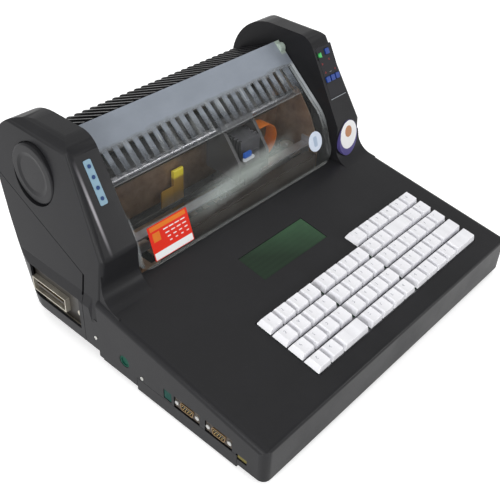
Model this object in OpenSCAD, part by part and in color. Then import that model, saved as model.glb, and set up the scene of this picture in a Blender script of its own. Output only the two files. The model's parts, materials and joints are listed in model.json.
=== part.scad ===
// Ticket register: a counter unit with a sloping keyboard console in front and a
// ticket printer under a clear hinged lid behind it.
// +X is the unit's right, +Y its rear, +Z up. The origin is on the surface that it
// stands on, under the middle of its outline.

/* [Case] */
// Width over the console sides
case_w = 402; // [398:1:410]
// Depth from the front edge to the rear of the dome
case_d = 370; // [368:1:376]
// Height of the cheeks over the base, without the feet
case_h = 208; // [206:1:212]
// Wall of the moulded shells
wall = 2.5; // [2.2:0.1:2.8]
// Height of the deck's front edge over the base
deck_front_h = 43; // [42:0.5:46]
// Slope of the deck
deck_slope = 8.76; // [8.2:0.1:9.4]
// Distance from the middle to the inner face of each cheek
cheek_x = 150.5; // [150.5:0.1:151]
// Height of the feet under the base
foot_h = 3; // [2:0.5:4]

/* [Keyboard] */
// Distance from key to key
pitch = 19.05; // [18.8:0.05:19.05]
// Extra gap after the fourth and the eighth column
block_gap = 3.5; // [3:0.1:4]
// Height of the key tops over the deck
key_h = 7.7; // [7:0.1:8.5]
// How far a key goes down
key_travel = 3.2; // [2.5:0.1:3.2]

/* [Display] */
// Width of the display window
lcd_w = 98; // [94:1:100]
// Height of the display window along the deck
lcd_l = 36; // [34:1:37]

/* [Printer] */
// Radius of the rubber platen
platen_r = 16; // [14:0.5:16]
// Radius of the carriage guide rod
rod_r = 4; // [3.5:0.5:4]
// Radial play of shafts, pins and the carriage on its rod
play = 0.05; // [0.03:0.01:0.08]
// Thickness of the clear lid
lid_t = 2.5; // [2.2:0.1:2.6]
// Number of slots in the grille under the lid
slots = 22; // [14:1:22]

/* [Hidden] */

round_fn = 64;
arc_steps = 10;
over = 1;                       // how far a cutter runs past what it cuts
fit_gap = 0.4;                  // gap between pieces that lie side by side
body_col = "#1c1d20";
half_w = case_w / 2;

// Console
tray_h = 4;
tray_end = 213;
corner_r = 8;
deck_edge_r = 7;
front_edge_r = 4;
deck_end = 208;
deck_cos = cos(deck_slope);

// Rear envelope: the cheeks and the rear case share it
cheek_front = 204;
cheek_edge_r = 5;               // rounding of the cheeks' outer front edges
edge_depth = 12;
edge_ease = 0.4;                // keeps the prism's side clear of the cheek's side
rear_floor = 12;
slope_a = 60.67;                // angle of the cheeks' front slope
slope_z0 = 114.9;               // where the front face turns into the slope
shoulder_z = 60;                // above this the sides draw in
shoulder_in = 3.5;
shoulder_h = 12;
side_lean = 0.13;               // sideways run of a cheek's side for each unit of height
dome_r = 60;
rear_lean = 16;
plan_r = 38;
dome_y = case_d - dome_r;
dome_z = case_h - dome_r;
rear_y = dome_y + dome_r * cos(rear_lean);
rear_z = dome_z - dome_r * sin(rear_lean);

// Seam between the upper and the rear case
seam_y = 228;
seam_rise = 0.388;
seam_w = 0.6;

// Printer mechanism
platen_y = 302;
platen_z = 126;
knob_z = 161;
rod_y = 266;
rod_z = 142.5;
plate_x = 141;                  // inner face of the side plates
plate_t = 2;
shaft_r = 4;
gear_m = 1.25;                  // gear module
platen_teeth = 32;
knob_teeth = 24;
pinion_teeth = 12;
gear_x = -176;                  // outer face of the gear train
gear_w = 7;
motor_dz = gear_m * (platen_teeth + pinion_teeth) / 2;
carriage_x = 39;
carriage_half = 24;
head_half = 15;
rail_y = 240;
rail_z = 88;
belt_y = 256;
belt_z = 77;
belt_h = 6;
pulley_r = 6;
pulley_x = 125;
chassis_z = 22;

// Lid
lid_x = 149;
lid_foot = [204.17, 76.05];
lid_knee = [222.7, 127];
lid_back = [298, 192.5];
lid_knee_r = 50;
lid_corner_r = 18;
hinge_y = 292.5;
hinge_z = 186;
hinge_r = 3;

// Keyboard: widths in key pitches of each row and block, rear row first
col0_x = -97.1;
row4_s = 31.37;                 // middle of the front row, measured up the deck
key_gap = 1.05;
key_rows = [
    [[], [], [1, 1, 1, 1, 1, 1]],
    [[1, 1, 1, 1], [1, 1, 1, 1], [1, 1, 2, 1, 1]],
    [[1, 1, 1, 1], [1, 1, 1, 1], [1, 1, 1, 1, 1, 1]],
    [[1, 1, 1, 1], [1, 1, 1, 1], [1, 1, 1, 1, 2]],
    [[1, 1, 2], [1, 1, 1, 1], [1, 1, 1, 1, 2]]
];
plate_drop = 4.3;               // keyboard plate under the deck surface
plate_m = 7;                    // how far the plate and the board reach past the keys
board_drop = 13.4;              // keyboard board under the deck surface
boss_r = 2.5;
board_bosses = [for (x = [-111, 0, 100, 166], s = [17.5]) [x, s],
    [-111, 75], [171, 75], [-20, 102.5], [166, 121.5]];
lcd_board_drop = 9;
lcd_bosses = [for (x = [-52, 52], y = [-22, 22]) [x, y]];

// ---------------------------------------------------------------- helpers

function unit(v) = v / norm(v);
function total(v, n) = n <= 0 ? 0 : v[n - 1] + total(v, n - 1);
function turn(a) = (a + 540) % 360 - 180;
function arc(c, r, a, b, n = arc_steps) = [for (k = [0 : n])
    let (t = a + (b - a) * k / n)
    c + r * [cos(t), sin(t)]];

// Corner p between neighbours a and b, rounded by radius r
function corner(a, p, b, r) =
    let (u = unit(a - p), v = unit(b - p), h = acos(u * v) / 2,
         c = p + unit(u + v) * r / sin(h),
         s = p + u * r / tan(h) - c, e = p + v * r / tan(h) - c,
         a0 = atan2(s[1], s[0]))
    arc(c, r, a0, a0 + turn(atan2(e[1], e[0]) - a0));

// Outline from points [a, b, radius], closed
function eased(pts) = [for (i = [0 : len(pts) - 1])
    let (n = len(pts), f = function(k) [pts[(k + n) % n][0], pts[(k + n) % n][1]])
    each (pts[i][2] <= 0 ? [f(i)] : corner(f(i - 1), f(i), f(i + 1), pts[i][2]))];

function reversed(v) = [for (i = [len(v) - 1 : -1 : 0]) v[i]];
function deck(y) = deck_front_h + y * tan(deck_slope);
function seam(y) = 80 + seam_rise * (y - 200);
function side_x(z) = half_w - shoulder_in - side_lean * (z - shoulder_z - shoulder_h);

// Everything is drawn from the front edge and the base, then set on its feet
module stand() translate([0, -case_d / 2, foot_h]) children();

// Outline (y, z) pulled sideways from x0 to x1
module across(x0, x1) translate([x0, 0, 0]) rotate([90, 0, 90]) linear_extrude(x1 - x0) children();

// Outline (x, z) pulled backwards from y0 to y1
module along(y0, y1) translate([0, y1, 0]) rotate([90, 0, 0]) linear_extrude(y1 - y0) children();

module box(x, y, z) translate([x[0], y[0], z[0]]) cube([x[1] - x[0], y[1] - y[0], z[1] - z[0]]);

// Cylinder along X
module rod(x0, x1, y, z, r)
    translate([x0, y, z]) rotate([0, 90, 0]) cylinder(h = x1 - x0, r = r, $fn = round_fn);

// Places its children on the deck: x, distance up the slope, height over the surface
module on_deck(x, s, h = 0)
    translate([0, 0, deck_front_h]) rotate([deck_slope, 0, 0]) translate([x, s, h]) children();

// Places its children on the cheeks' front slope: x, distance up the slope, height over it
module on_slope(x, t, h = 0)
    translate([0, cheek_front, slope_z0]) rotate([slope_a, 0, 0]) translate([x, t, h]) children();

module both_sides() {
    children();
    mirror([1, 0, 0]) children();
}

// ---------------------------------------------------------------- shells

// Outer form of the rear half, drawn in by d
function rear_side(d) =
    let (knee = slope_z0 - d / cos(slope_a) + d * tan(slope_a),
         top = case_h - d,
         top_y = cheek_front + d + (top - knee) / tan(slope_a))
    concat(
        eased([[cheek_front + d, rear_floor + d, 0], [cheek_front + d, knee, 12],
               [top_y, top, 22 - d], [dome_y, top, 0]]),
        arc([dome_y, dome_z], dome_r - d, 90, -rear_lean, 16),
        [[rear_y - d / cos(rear_lean) - (rear_z - rear_floor - d) * tan(rear_lean), rear_floor + d]]);

function rear_section(d) =
    let (x = half_w - d, top = case_h - d, low = shoulder_z)
    eased([[-x, 0, 0], [-x, low, 4], [-x + shoulder_in, low + shoulder_h, 6],
           [d - side_x(top), top, 12 - d], [side_x(top) - d, top, 12 - d],
           [x - shoulder_in, low + shoulder_h, 6], [x, low, 4], [x, 0, 0]]);

module rear_form(d) intersection() {
    across(-half_w - over, half_w + over) polygon(rear_side(d));
    along(0, case_d + 10) polygon(rear_section(d));
    translate([0, rear_y, rear_z]) rotate([-rear_lean, 0, 0]) translate([0, 0, -200]) linear_extrude(400)
        polygon(eased([[-half_w + d, -300, 0], [half_w - d, -300, 0],
                       [half_w - d, -d, plan_r - d], [-half_w + d, -d, plan_r - d]]));
}

// Outer form of the console, drawn in by d
module console_form(d) intersection() {
    across(-half_w - over, half_w + over) polygon(eased([
        [d, tray_h - d * 2, 0], [tray_end, tray_h - d * 2, 0], [tray_end, 50, 0], [deck_end - d, 50, 0],
        [deck_end - d, deck(deck_end - d) - d, 0], [d, deck(d) - d / deck_cos, front_edge_r - d / 2]]));
    on_deck(0, 0) along(-30, 300) polygon(eased([
        [-half_w + d, -90, 0], [half_w - d, -90, 0],
        [half_w - d, -d, deck_edge_r - d], [-half_w + d, -d, deck_edge_r - d]]));
    translate([0, 0, -10]) linear_extrude(120) polygon(eased([
        [-half_w + d, d, corner_r - d], [half_w - d, d, corner_r - d],
        [half_w - d, 230, 0], [-half_w + d, 230, 0]]));
}

// Hollow foot that blends each cheek into the deck
module cheek_foot() intersection() {
    both_sides() across(cheek_x, half_w) polygon(concat(
        [[cheek_front + over, 60], [178, 60], [178, deck(178)]],
        corner([160, deck(160)], [cheek_front, deck(cheek_front)], [cheek_front, 140], 22),
        [[cheek_front + over, 100]]));
    along(100, case_d) polygon(rear_section(0));
}

module between_cheeks(d) box([-cheek_x - d, cheek_x + d], [cheek_front - 1, case_d + 20], [-20, case_h + 20]);

module under_seam(gap) across(-half_w - over, half_w + over) polygon([
    [seam_y + gap, -20], [seam_y + gap, seam(seam_y) - gap],
    [case_d + 20, seam(case_d + 20) - gap], [case_d + 20, -20]]);

// Key field: the two outlines of the opening in the deck, grown by m
module key_field(m, h0, h1) {
    x0 = col0_x - pitch / 2 - m;
    x1 = col0_x + 13.5 * pitch + 2 * block_gap + m;
    s0 = row4_s - pitch / 2 - m;
    s1 = row4_s + 3.5 * pitch + m;
    on_deck(0, 0) box([x0, x1], [s0, s1], [h0, h1]);
    on_deck(0, 0) box([key_x(8) - pitch / 2 - m, x1], [s1 - over, s1 + pitch], [h0, h1]);
}

function key_x(c) = col0_x + c * pitch + block_gap * (c >= 8 ? 2 : c >= 4 ? 1 : 0);

lcd_x = -9.5;
lcd_s = 147.2;
lcd_step = 1.4;
frame_in = 3;

// A centred pair of limits
function span(half) = [-half, half];

serial_y = [52.5, 90.5];
serial_z = 22.5;
port_y = [234, 309];
port_z = [24, 61];
inlet_x = 118;
inlet_z = 46;
switch_x = 76;

module left_wall_sockets() {
    through = [-half_w - over, -half_w + wall + over];
    for (y = serial_y) box(through, [y - 15.8, y + 15.8], [15, serial_z + 6.7]);
    rod(through[0], through[1], 172, 24, 6.6);
    box(through, [109.5, 119.5], [17, 28.5]);
    box(through, [20, 32], [11, 17.5]);
}

module tray_notch(g) box([-half_w - over, -half_w + 10], [31 - g, 155 + g], [-over, 15 + g]);

// Everything behind the rounded outer edge of one cheek's face, where the face stands at angle a.
// The prism follows the lean of the cheek's side, and flares out where the rounding ends.
module face_edge(d, a)
    translate([side_x(slope_z0), cheek_front, slope_z0])
        rotate([a, 0, 0]) rotate([0, 0, atan(side_lean * sin(a))]) along(-115, 190) polygon(
            let (out = atan(side_lean * cos(a)) + edge_ease, x0 = -d / cos(out))
            eased([[-120, -170, 0], [-120, -d, 0], [x0, -d, cheek_edge_r - d],
                   [x0 + edge_depth * tan(out), -edge_depth, 0], [30, -60, 0], [30, -170, 0]]));

// Outer form of the two cheeks, drawn in by d
module cheeks(d) difference() {
    intersection() {
        rear_form(d);
        both_sides() face_edge(d, slope_a);
        both_sides() face_edge(d, 90);
    }
    between_cheeks(d);
}

// Pocket in the left cheek that the feed knob turns in
module knob_pocket() intersection() {
    rod(-half_w, knob_floor + 2, platen_y, knob_z, knob_r + 3);
    rear_form(0);
}

// Bosses under the deck that carry the keyboard's board and the display's board
module deck_bosses() {
    for (b = board_bosses) on_deck(b[0], b[1], -board_drop)
        cylinder(h = board_drop - wall + 0.2, r = boss_r, $fn = 32);
    for (b = lcd_bosses) on_deck(lcd_x + b[0], lcd_s + b[1], -lcd_board_drop)
        cylinder(h = lcd_board_drop - wall + 0.2, r = boss_r, $fn = 32);
}

module upper_case() color(body_col) stand() difference() {
    union() {
        difference() {
            union() {
                console_form(0);
                cheek_foot();
                cheeks(0);
            }
            difference() {
                console_form(wall);
                // lip behind the deck stays, open below it
                box([-cheek_x - wall, cheek_x + wall], [deck_end - wall, tray_end + over], [40, 100]);
            }
            box([-cheek_x, cheek_x], [deck_end - wall - over, tray_end + over], [-over, 40]);
            cheeks(wall);
            both_sides() box([cheek_x + wall, half_w - wall - 2],
                             [cheek_front - 8, cheek_front + 6], [rear_floor, 62]);
            under_seam(0);
            box([-half_w - over, half_w + over], [cheek_front - over, case_d], [-over, rear_floor]);
        }
        knob_pocket();
        deck_bosses();
    }
    // seam line carried forward over the console's flank
    both_sides() across(half_w - 2.6, half_w + over) polygon([
        [cheek_front + 2, seam(cheek_front + 2)], [seam_y + over, seam(seam_y + over)],
        [seam_y + over, seam(seam_y + over) - seam_w], [cheek_front + 2, seam(cheek_front + 2) - seam_w]]);
    key_field(fit_gap, -wall * 2, 2);
    on_deck(lcd_x, lcd_s) {
        box(span(lcd_w / 2 + 0.2), span(lcd_l / 2 + 0.2), [-lcd_step, 2]);
        box(span(lcd_w / 2 - frame_in), span(lcd_l / 2 - frame_in), [-2 * wall, 2]);
    }
    // screw holes of the bosses
    for (b = board_bosses) on_deck(b[0], b[1], -board_drop - over) cylinder(h = 9, r = 1, $fn = 24);
    for (b = lcd_bosses) on_deck(lcd_x + b[0], lcd_s + b[1], -lcd_board_drop - over)
        cylinder(h = 6, r = 1, $fn = 24);
    left_wall_sockets();
    tray_notch(fit_gap);
    // hinge bores of the lid
    rod(-cheek_x - wall - over, cheek_x + wall + over, hinge_y, hinge_z, hinge_r + play);
    // knob's pocket and shaft, platen shaft through the inner walls
    rod(-half_w - over, knob_floor, platen_y, knob_z, knob_r + 0.8);
    rod(-half_w, -cheek_x + over, platen_y, knob_z, shaft_r + 1);
    rod(-cheek_x - wall - over, cheek_x + wall + over, platen_y, platen_z, shaft_r + 1);
    // seats of the control panel and the indicator strip
    on_slope(panel_x, panel_t) box(span(panel_w / 2 + 0.2), span(panel_l / 2 + 0.2), [-panel_step, 3]);
    for (b = concat(button_at, [led_at])) on_slope(b[0], b[1]) box(span(5), span(5), [-9, 2]);
    on_slope(strip_x, strip_t) box(span(strip_w / 2 + 0.2), span(strip_l / 2 + 0.2), [-strip_step, 3]);
}

module rear_case() color(body_col) stand() difference() {
    union() {
        difference() {
            intersection() {
                rear_form(0);
                under_seam(seam_w);
            }
            rear_form(wall);
            box([-half_w + wall, half_w - wall], [seam_y - 10, seam_y + wall], [rear_floor + wall, case_h]);
        }
        // bosses that carry the rear feet
        both_sides() translate([165, 300, 0]) cylinder(h = rear_floor + wall, r = 12, $fn = round_fn);
    }
    both_sides() translate([165, 300, -over]) cylinder(h = rear_floor, r = 6, $fn = round_fn);
    box([-half_w - over, -half_w + wall + over], port_y, port_z);
    // air slots in the rear wall
    for (i = [0 : 13], k = [0 : 1])
        box([-128 + i * 11, -122 + i * 11], [300, case_d], [34 + k * 34, 60 + k * 34]);
    box([inlet_x - 14.2, inlet_x + 14.2], [320, case_d], [inlet_z - 10.2, inlet_z + 10.2]);
    box([switch_x - 10.2, switch_x + 10.2], [320, case_d], [inlet_z - 7.2, inlet_z + 7.2]);
    // floor opening over the tray's step
    box([-170, 170], [seam_y - over, 250], [rear_floor - over, rear_floor + wall + over]);
}

// Plan of the tray, drawn in by d, with its front corners rounded
module tray_plan(d, r) polygon(eased([
    [-198 + d, 3 + d, r], [198 - d, 3 + d, r], [198 - d, tray_end - d, 0], [-198 + d, tray_end - d, 0]]));

module base_tray() color("#27282b") stand() difference() {
    union() {
        linear_extrude(2) tray_plan(0, 8);
        difference() {
            linear_extrude(11) tray_plan(0, 7);
            translate([0, 0, 2]) linear_extrude(20) tray_plan(2, 5);
        }
        // ledge under the rear case
        box([-190, 190], [tray_end - 2, 246], [rear_floor - 2.4, rear_floor - 0.4]);
        // flank that carries the lower half of the sockets
        box([-half_w, -196.5], [31, 155], [0, 15]);
        // stand-offs of the main board
        for (x = [-170, 0, 170], y = [24, 190]) translate([x, y, 0]) cylinder(h = 9, r = 4, $fn = 32);
        // stiffening ribs
        for (y = [60, 110, 160]) box([-197, 197], [y - 1, y + 1], [0, 5]);
    }
    for (x = [-170, 0, 170], y = [24, 190]) translate([x, y, 3]) cylinder(h = 9, r = 1.5, $fn = 24);
    for (i = [0 : 9], k = [-1, 1]) box([k * (40 + i * 10) - 2, k * (40 + i * 10) + 2], [74, 98], [-over, 6]);
    for (x = [-150, 150], y = [30, 186]) translate([x, y, -over]) cylinder(h = 4, r = 1.7, $fn = 24);
    // the flank is thin behind the sockets
    box([-half_w + 1.1, -190], [20, 154], [10.4, 20]);
}

module feet() color("#141414") stand() {
    for (x = [-165, 165]) {
        translate([x, 22, -foot_h]) cylinder(h = foot_h, r1 = 7, r2 = 8, $fn = round_fn);
        translate([x, 198, -foot_h]) cylinder(h = foot_h, r1 = 7, r2 = 8, $fn = round_fn);
        translate([x, 300, -foot_h]) cylinder(h = foot_h, r = 9, $fn = round_fn);
        translate([x, 300, 0]) cylinder(h = 6, r = 5.9, $fn = round_fn);
    }
}

module case_screws() color("silver") stand()
    for (x = [-150, 150], y = [30, 186]) translate([x, y, 0]) {
        translate([0, 0, -1.4]) cylinder(h = 1.4, r = 3, $fn = 32);
        translate([0, 0, -0.2]) cylinder(h = 9, r = 1.5, $fn = 32);
    }

// ---------------------------------------------------------------- lid and paper guide

lid_n1 = let (u = unit(lid_knee - lid_foot)) [u[1], -u[0]];
lid_n2 = let (u = unit(lid_back - lid_knee)) [u[1], -u[0]];

// Lid line drawn in by d, from the foot to the back
function lid_line(d) =
    let (k = lid_knee + (lid_n1 + lid_n2) * d / (1 + lid_n1 * lid_n2))
    concat([lid_foot + lid_n1 * d],
           corner(lid_foot + lid_n1 * d, k, lid_back + lid_n2 * d, lid_knee_r - d),
           [lid_back + lid_n2 * d]);

function lid_band(d0, d1) = concat(lid_line(d0), reversed(lid_line(d1)));

// Stretch of the lid's upper flat, from a to b of its length, between two depths
function lid_flat(a, b, d0, d1) =
    let (p = function(t, d) lid_knee + (lid_back - lid_knee) * t + lid_n2 * d)
    [p(a, d0), p(b, d0), p(b, d1), p(a, d1)];

rim_w = 3;
rim_d = 5.5;
slot_pitch = 12.4;
slot_w = 6.4;
grille_x = 141.5;
grille_t = 1.5;
grille_span = [0.35, 0.95];     // share of the lid's upper flat that the grille covers
slot_span = [0.41, 0.70];
fin_d = 4.2;
fin_w = 1.6;

module lid() color("#9fb0b8", 0.45) stand() {
    difference() {
        union() {
            across(-lid_x, lid_x) polygon(lid_band(0, lid_t));
            both_sides() across(lid_x - rim_w, lid_x) polygon(lid_band(0, rim_d));
            both_sides() rod(lid_x - 7, lid_x, hinge_y, hinge_z, 5.5);
        }
        // rounded lower corners
        both_sides() translate([lid_x, lid_foot[0], lid_foot[1]])
            rotate([atan2(-lid_n1[0], lid_n1[1]) + 180, 0, 0]) translate([0, 0, -12]) linear_extrude(24)
                difference() {
                    translate([-lid_corner_r, -over]) square([lid_corner_r + over, lid_corner_r + over]);
                    translate([-lid_corner_r, lid_corner_r]) circle(r = lid_corner_r, $fn = round_fn);
                }
    }
    both_sides() rod(lid_x - over, cheek_x + wall - 0.3, hinge_y, hinge_z, hinge_r);
}

// Slotted baffle under the lid's upper flat, with a fin between each two slots
module lid_grille() color("#c8d2d8", 0.7) stand() {
    low = lid_t + grille_t;
    difference() {
        across(-grille_x, grille_x) polygon(lid_flat(grille_span[0], grille_span[1], lid_t, low));
        for (i = [0 : slots - 1]) let (x = (i - (slots - 1) / 2) * slot_pitch)
            across(x - slot_w / 2, x + slot_w / 2)
                polygon(lid_flat(slot_span[0], slot_span[1], lid_t - over, low + over));
    }
    for (i = [0 : slots]) let (x = (i - slots / 2) * slot_pitch)
        across(x - fin_w / 2, x + fin_w / 2)
            polygon(lid_flat(slot_span[0], slot_span[1], low - 0.2, lid_t + fin_d));
}

guide_x = 149.8;
guide_rib = 10;

module rear_paper_guide() color("#202124") stand() {
    across(-guide_x, guide_x) polygon(eased([
        [305, 172, 0], [305, 184, 2], [365.5, 158.5, 5], [369.3, seam(368) + 0.4, 0],
        [366, seam(366) + 0.4, 0], [362.6, 156, 3], [308, 179.8, 1], [308, 172, 0]]));
    for (i = [-14 : 14]) across(i * guide_rib - 1.1, i * guide_rib + 1.1) polygon(eased([
        [305.4, 180, 0], [306.5, 187.2, 2], [364, 162.6, 5], [368.3, 152, 0], [366, 152, 0], [360, 158, 0]]));
}

// ---------------------------------------------------------------- paper feed

// Spur gear with straight-flanked teeth, thinned for play
module gear(z, bore, h, turned = 0) {
    r = gear_m * z / 2;
    tip = r + 0.8 * gear_m;
    root = r - 1.2 * gear_m;
    a = 360 / z;
    difference() {
        rotate([0, 0, turned * a]) linear_extrude(h) polygon([
            for (i = [0 : z - 1], p = [[-0.30, root], [-0.09, tip], [0.09, tip], [0.30, root]])
                p[1] * [cos((i + p[0]) * a), sin((i + p[0]) * a)]]);
        translate([0, 0, -over]) cylinder(h = h + 2 * over, r = bore, $fn = round_fn);
    }
}

// Gear axis along X; the first tooth points towards +Z
module feed_gear(z, y, h, bore, turned = 0)
    translate([gear_x, y, h]) rotate([0, 90, 0]) rotate([0, 0, 180]) gear(z, bore, gear_w, turned);

knob_r = 30;
knob_face = -187.5;
knob_floor = -180.6;

module platen_roller() color("#2b2b2d") stand() difference() {
    rod(-132, 132, platen_y, platen_z, platen_r);
    rod(-133, 133, platen_y, platen_z, shaft_r);
}

module platen_shaft() color("#b9bcc0") stand() {
    rod(gear_x - 1, plate_x + plate_t + 4, platen_y, platen_z, shaft_r);
    both_sides() rod(132.2, 134.5, platen_y, platen_z, 7);
}

module platen_gear() color("#d8d4c4") stand() difference() {
    feed_gear(platen_teeth, platen_y, platen_z, shaft_r);
    for (k = [0 : 5]) translate([0, platen_y, platen_z]) rotate([k * 60, 0, 0])
        rod(gear_x - over, gear_x + gear_w + over, 0, 12, 3);
}

// Knob with a rounded edge and a dished face, on its shaft with its gear
module feed_knob() color("#242528") stand() {
    translate([knob_face, platen_y, knob_z]) rotate([0, 90, 0]) rotate_extrude($fn = 2 * round_fn)
        polygon(eased([[0, 1, 0], [18, 1, 6], [22, 0, 4], [knob_r, 0, 2], [knob_r, 6, 0], [0, 6, 0]]));
    rod(knob_face + 5, -plate_x + 1.5, platen_y, knob_z, shaft_r);
    feed_gear(knob_teeth, platen_y, knob_z, shaft_r - 0.1, 0.5);
}

module feed_pinion() color("#d8d4c4") stand() {
    feed_gear(pinion_teeth, platen_y, platen_z - motor_dz, 1.9, 0.5);
    rod(gear_x - 0.5, gear_x + gear_w + 8, platen_y, platen_z - motor_dz, 2);
}

module feed_motor() color("#6d7074") stand() difference() {
    union() {
        rod(gear_x + gear_w + 1.5, -cheek_x - wall, platen_y, platen_z - motor_dz, 17.5);
        box([gear_x + gear_w + 1.5, gear_x + gear_w + 3], [platen_y - 24, platen_y + 24],
            [platen_z - motor_dz - 9, platen_z - motor_dz + 4]);
    }
    rod(gear_x, gear_x + gear_w + 8.4, platen_y, platen_z - motor_dz, 2 + play);
}

// ---------------------------------------------------------------- printer frame

function side_plate_outline() = eased([
    [224, chassis_z, 0], [224, 92, 10], [238, 122, 20], [258, 148, 10], [282, 158, 8],
    [304, 172, 8], [318, 172, 8], [322, 150, 0], [322, chassis_z, 0]]);

module side_plate() difference() {
    union() {
        across(plate_x, plate_x + plate_t) polygon(side_plate_outline());
        box([plate_x - 12, plate_x + plate_t], [224, 322], [chassis_z, chassis_z + plate_t]);
        rod(plate_x - 3, plate_x + plate_t, platen_y, platen_z, 9);
    }
    rod(plate_x - 5, plate_x + 5, platen_y, platen_z, shaft_r + play);
    rod(plate_x - 5, plate_x + 5, rod_y, rod_z, rod_r);
    across(plate_x - over, plate_x + 5)
        polygon(eased([[236, 40, 6], [236, 74, 6], [282, 74, 6], [282, 40, 6]]));
}

module left_side_plate() color("#8d9196") stand() difference() {
    mirror([1, 0, 0]) side_plate();
    rod(-plate_x - 5, -plate_x + 5, platen_y, knob_z, shaft_r + play);
}

module right_side_plate() color("#8d9196") stand() side_plate();

module chassis_plate() color("#9a7f62") stand() difference() {
    union() {
        across(-plate_x + 0.2, plate_x - 0.2) polygon([
            [224, chassis_z], [224, chassis_z - 7], [226, chassis_z - 7], [226, chassis_z - plate_t],
            [320, chassis_z - plate_t], [320, chassis_z - 7], [322, chassis_z - 7], [322, chassis_z]]);
        both_sides() box([plate_x - 12, plate_x + plate_t], [224, 322], [chassis_z - plate_t, chassis_z]);
        // legs down to the rear case's floor
        for (x = [-120, 120], y = [254, 314])
            box([x - 6, x + 6], [y - 4, y + 4], [rear_floor + wall, chassis_z - 1]);
    }
    for (i = [-5 : 5]) box([i * 20 - 6, i * 20 + 6], [262, 300], [0, chassis_z + over]);
}

module guide_rod() color("#d9dbdd") stand()
    rod(-plate_x - plate_t - 2, plate_x + plate_t + 2, rod_y, rod_z, rod_r);

module guide_rail() color("#9aa0a6") stand() {
    across(-plate_x, plate_x) polygon([
        [rail_y - 5, rail_z - 2], [rail_y + 4, rail_z - 2], [rail_y + 4, rail_z - 9],
        [rail_y + 6, rail_z - 9], [rail_y + 6, rail_z], [rail_y - 5, rail_z]]);
    // bracket with the idler's pin
    box([pulley_x - 8, plate_x], [rail_y + 4, belt_y + 9], [belt_z - 5, belt_z - 3]);
    translate([pulley_x, belt_y, belt_z - 4]) cylinder(h = belt_h + 7, r = 2, $fn = round_fn);
    // bracket that holds the motor
    difference() {
        box([-plate_x, -pulley_x + 21], [rail_y - 5, belt_y + 18], [belt_z - 7, belt_z - 5]);
        translate([-pulley_x, belt_y, belt_z - 8]) cylinder(h = 5, r = 7, $fn = round_fn);
    }
    both_sides() box([plate_x - 2, plate_x], [rail_y - 5, rail_y + 6], [rail_z - 18, rail_z + 8]);
}

clamp_y = belt_y - pulley_r - 0.6;

module carriage() color("#26262a") stand() difference() {
    union() {
        rod(carriage_x - carriage_half, carriage_x + carriage_half, rod_y, rod_z, rod_r + 4.5);
        both_sides_of(carriage_x) across(carriage_half - 4, carriage_half) polygon(eased([
            [232, 92, 3], [232, 114, 6], [254, 141, 6], [276, 145, 6], [280, 128, 4], [280, 92, 6]]));
        across(carriage_x - carriage_half, carriage_x + carriage_half) polygon(eased([
            [232, 92, 2], [232, 100, 2], [280, 100, 2], [280, 92, 2]]));
        // foot on the rail, with a lip in front of it
        across(carriage_x - 12, carriage_x + 12) polygon([
            [rail_y - 8, 94], [rail_y - 8, rail_z - 5], [rail_y - 5 - fit_gap, rail_z - 5],
            [rail_y - 5 - fit_gap, rail_z + fit_gap], [rail_y + 6, rail_z + fit_gap], [rail_y + 6, 94]]);
        // clamp on the front run of the belt
        across(carriage_x - 7, carriage_x + 7) polygon([
            [clamp_y - 2.4, 93], [clamp_y + 2.4, 93], [clamp_y + 2.4, belt_z - 1],
            [clamp_y + 0.9, belt_z - 1], [clamp_y + 0.9, belt_z + belt_h + 0.6],
            [clamp_y - 0.9, belt_z + belt_h + 0.6], [clamp_y - 0.9, belt_z - 1],
            [clamp_y - 2.4, belt_z - 1]]);
    }
    rod(carriage_x - carriage_half - 1, carriage_x + carriage_half + 1, rod_y, rod_z, rod_r + play);
    // window over the head
    box([carriage_x - carriage_half + 4, carriage_x + carriage_half - 4], [226, 250], [100, 150]);
    // slot that the flex cable passes
    box([carriage_x + carriage_half - 5, carriage_x + carriage_half + over],
        [flex_y[0] - 0.5, flex_y[1] + 0.5], [flex_z[1] - flex_t - 0.5, flex_z[1] + 0.5]);
}

// Repeats its children mirrored about the plane at x
module both_sides_of(x) {
    translate([x, 0, 0]) children();
    translate([x, 0, 0]) mirror([1, 0, 0]) children();
}

module print_head() color("#3a3b40") stand() {
    difference() {
        box([carriage_x - head_half, carriage_x + head_half], [238, 270], [103, 134]);
        for (k = [0 : 5]) box([carriage_x - 16, carriage_x - 11], [240 + k * 5, 242.6 + k * 5], [102, 135]);
        for (k = [0 : 5]) box([carriage_x + 11, carriage_x + 16], [240 + k * 5, 242.6 + k * 5], [102, 135]);
    }
    across(carriage_x - 6, carriage_x + 6)
        polygon([[269, 112], [276, 118], [284.6, 122], [284.6, 130], [276, 132], [269, 133]]);
    // seat in the carriage and connector for the flex
    box([carriage_x - 10, carriage_x + 10], [240, 268], [100, 103.5]);
    box([carriage_x - 11, carriage_x + 11], [234, 239], [106, 118]);
}

flex_t = 0.6;
flex_y = [253, 269];
flex_r = 20;
flex_z = [87, 127];
flex_out = 18;                  // centre of the loop, beyond the carriage

// Flat cable from the head: out of the carriage, round a loop and back under it
module flex_cable() color("#d9762b") stand() {
    x1 = carriage_x + carriage_half;
    c = [x1 + flex_out, (flex_z[0] + flex_z[1]) / 2];
    along(flex_y[0], flex_y[1]) polygon(concat(
        [[x1 - 40, flex_z[0]]], arc(c, flex_r, -90, 90, 16), [[carriage_x + head_half, flex_z[1]]],
        [[carriage_x + head_half, flex_z[1] - flex_t]], arc(c, flex_r - flex_t, 90, -90, 16),
        [[x1 - 40, flex_z[0] + flex_t]]));
}

// Outline of the belt's run at d outside the pulleys
module belt_run(d) {
    both_sides() translate([pulley_x, 0]) circle(r = pulley_r + d, $fn = round_fn);
    square([2 * pulley_x, 2 * (pulley_r + d)], center = true);
}

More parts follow.
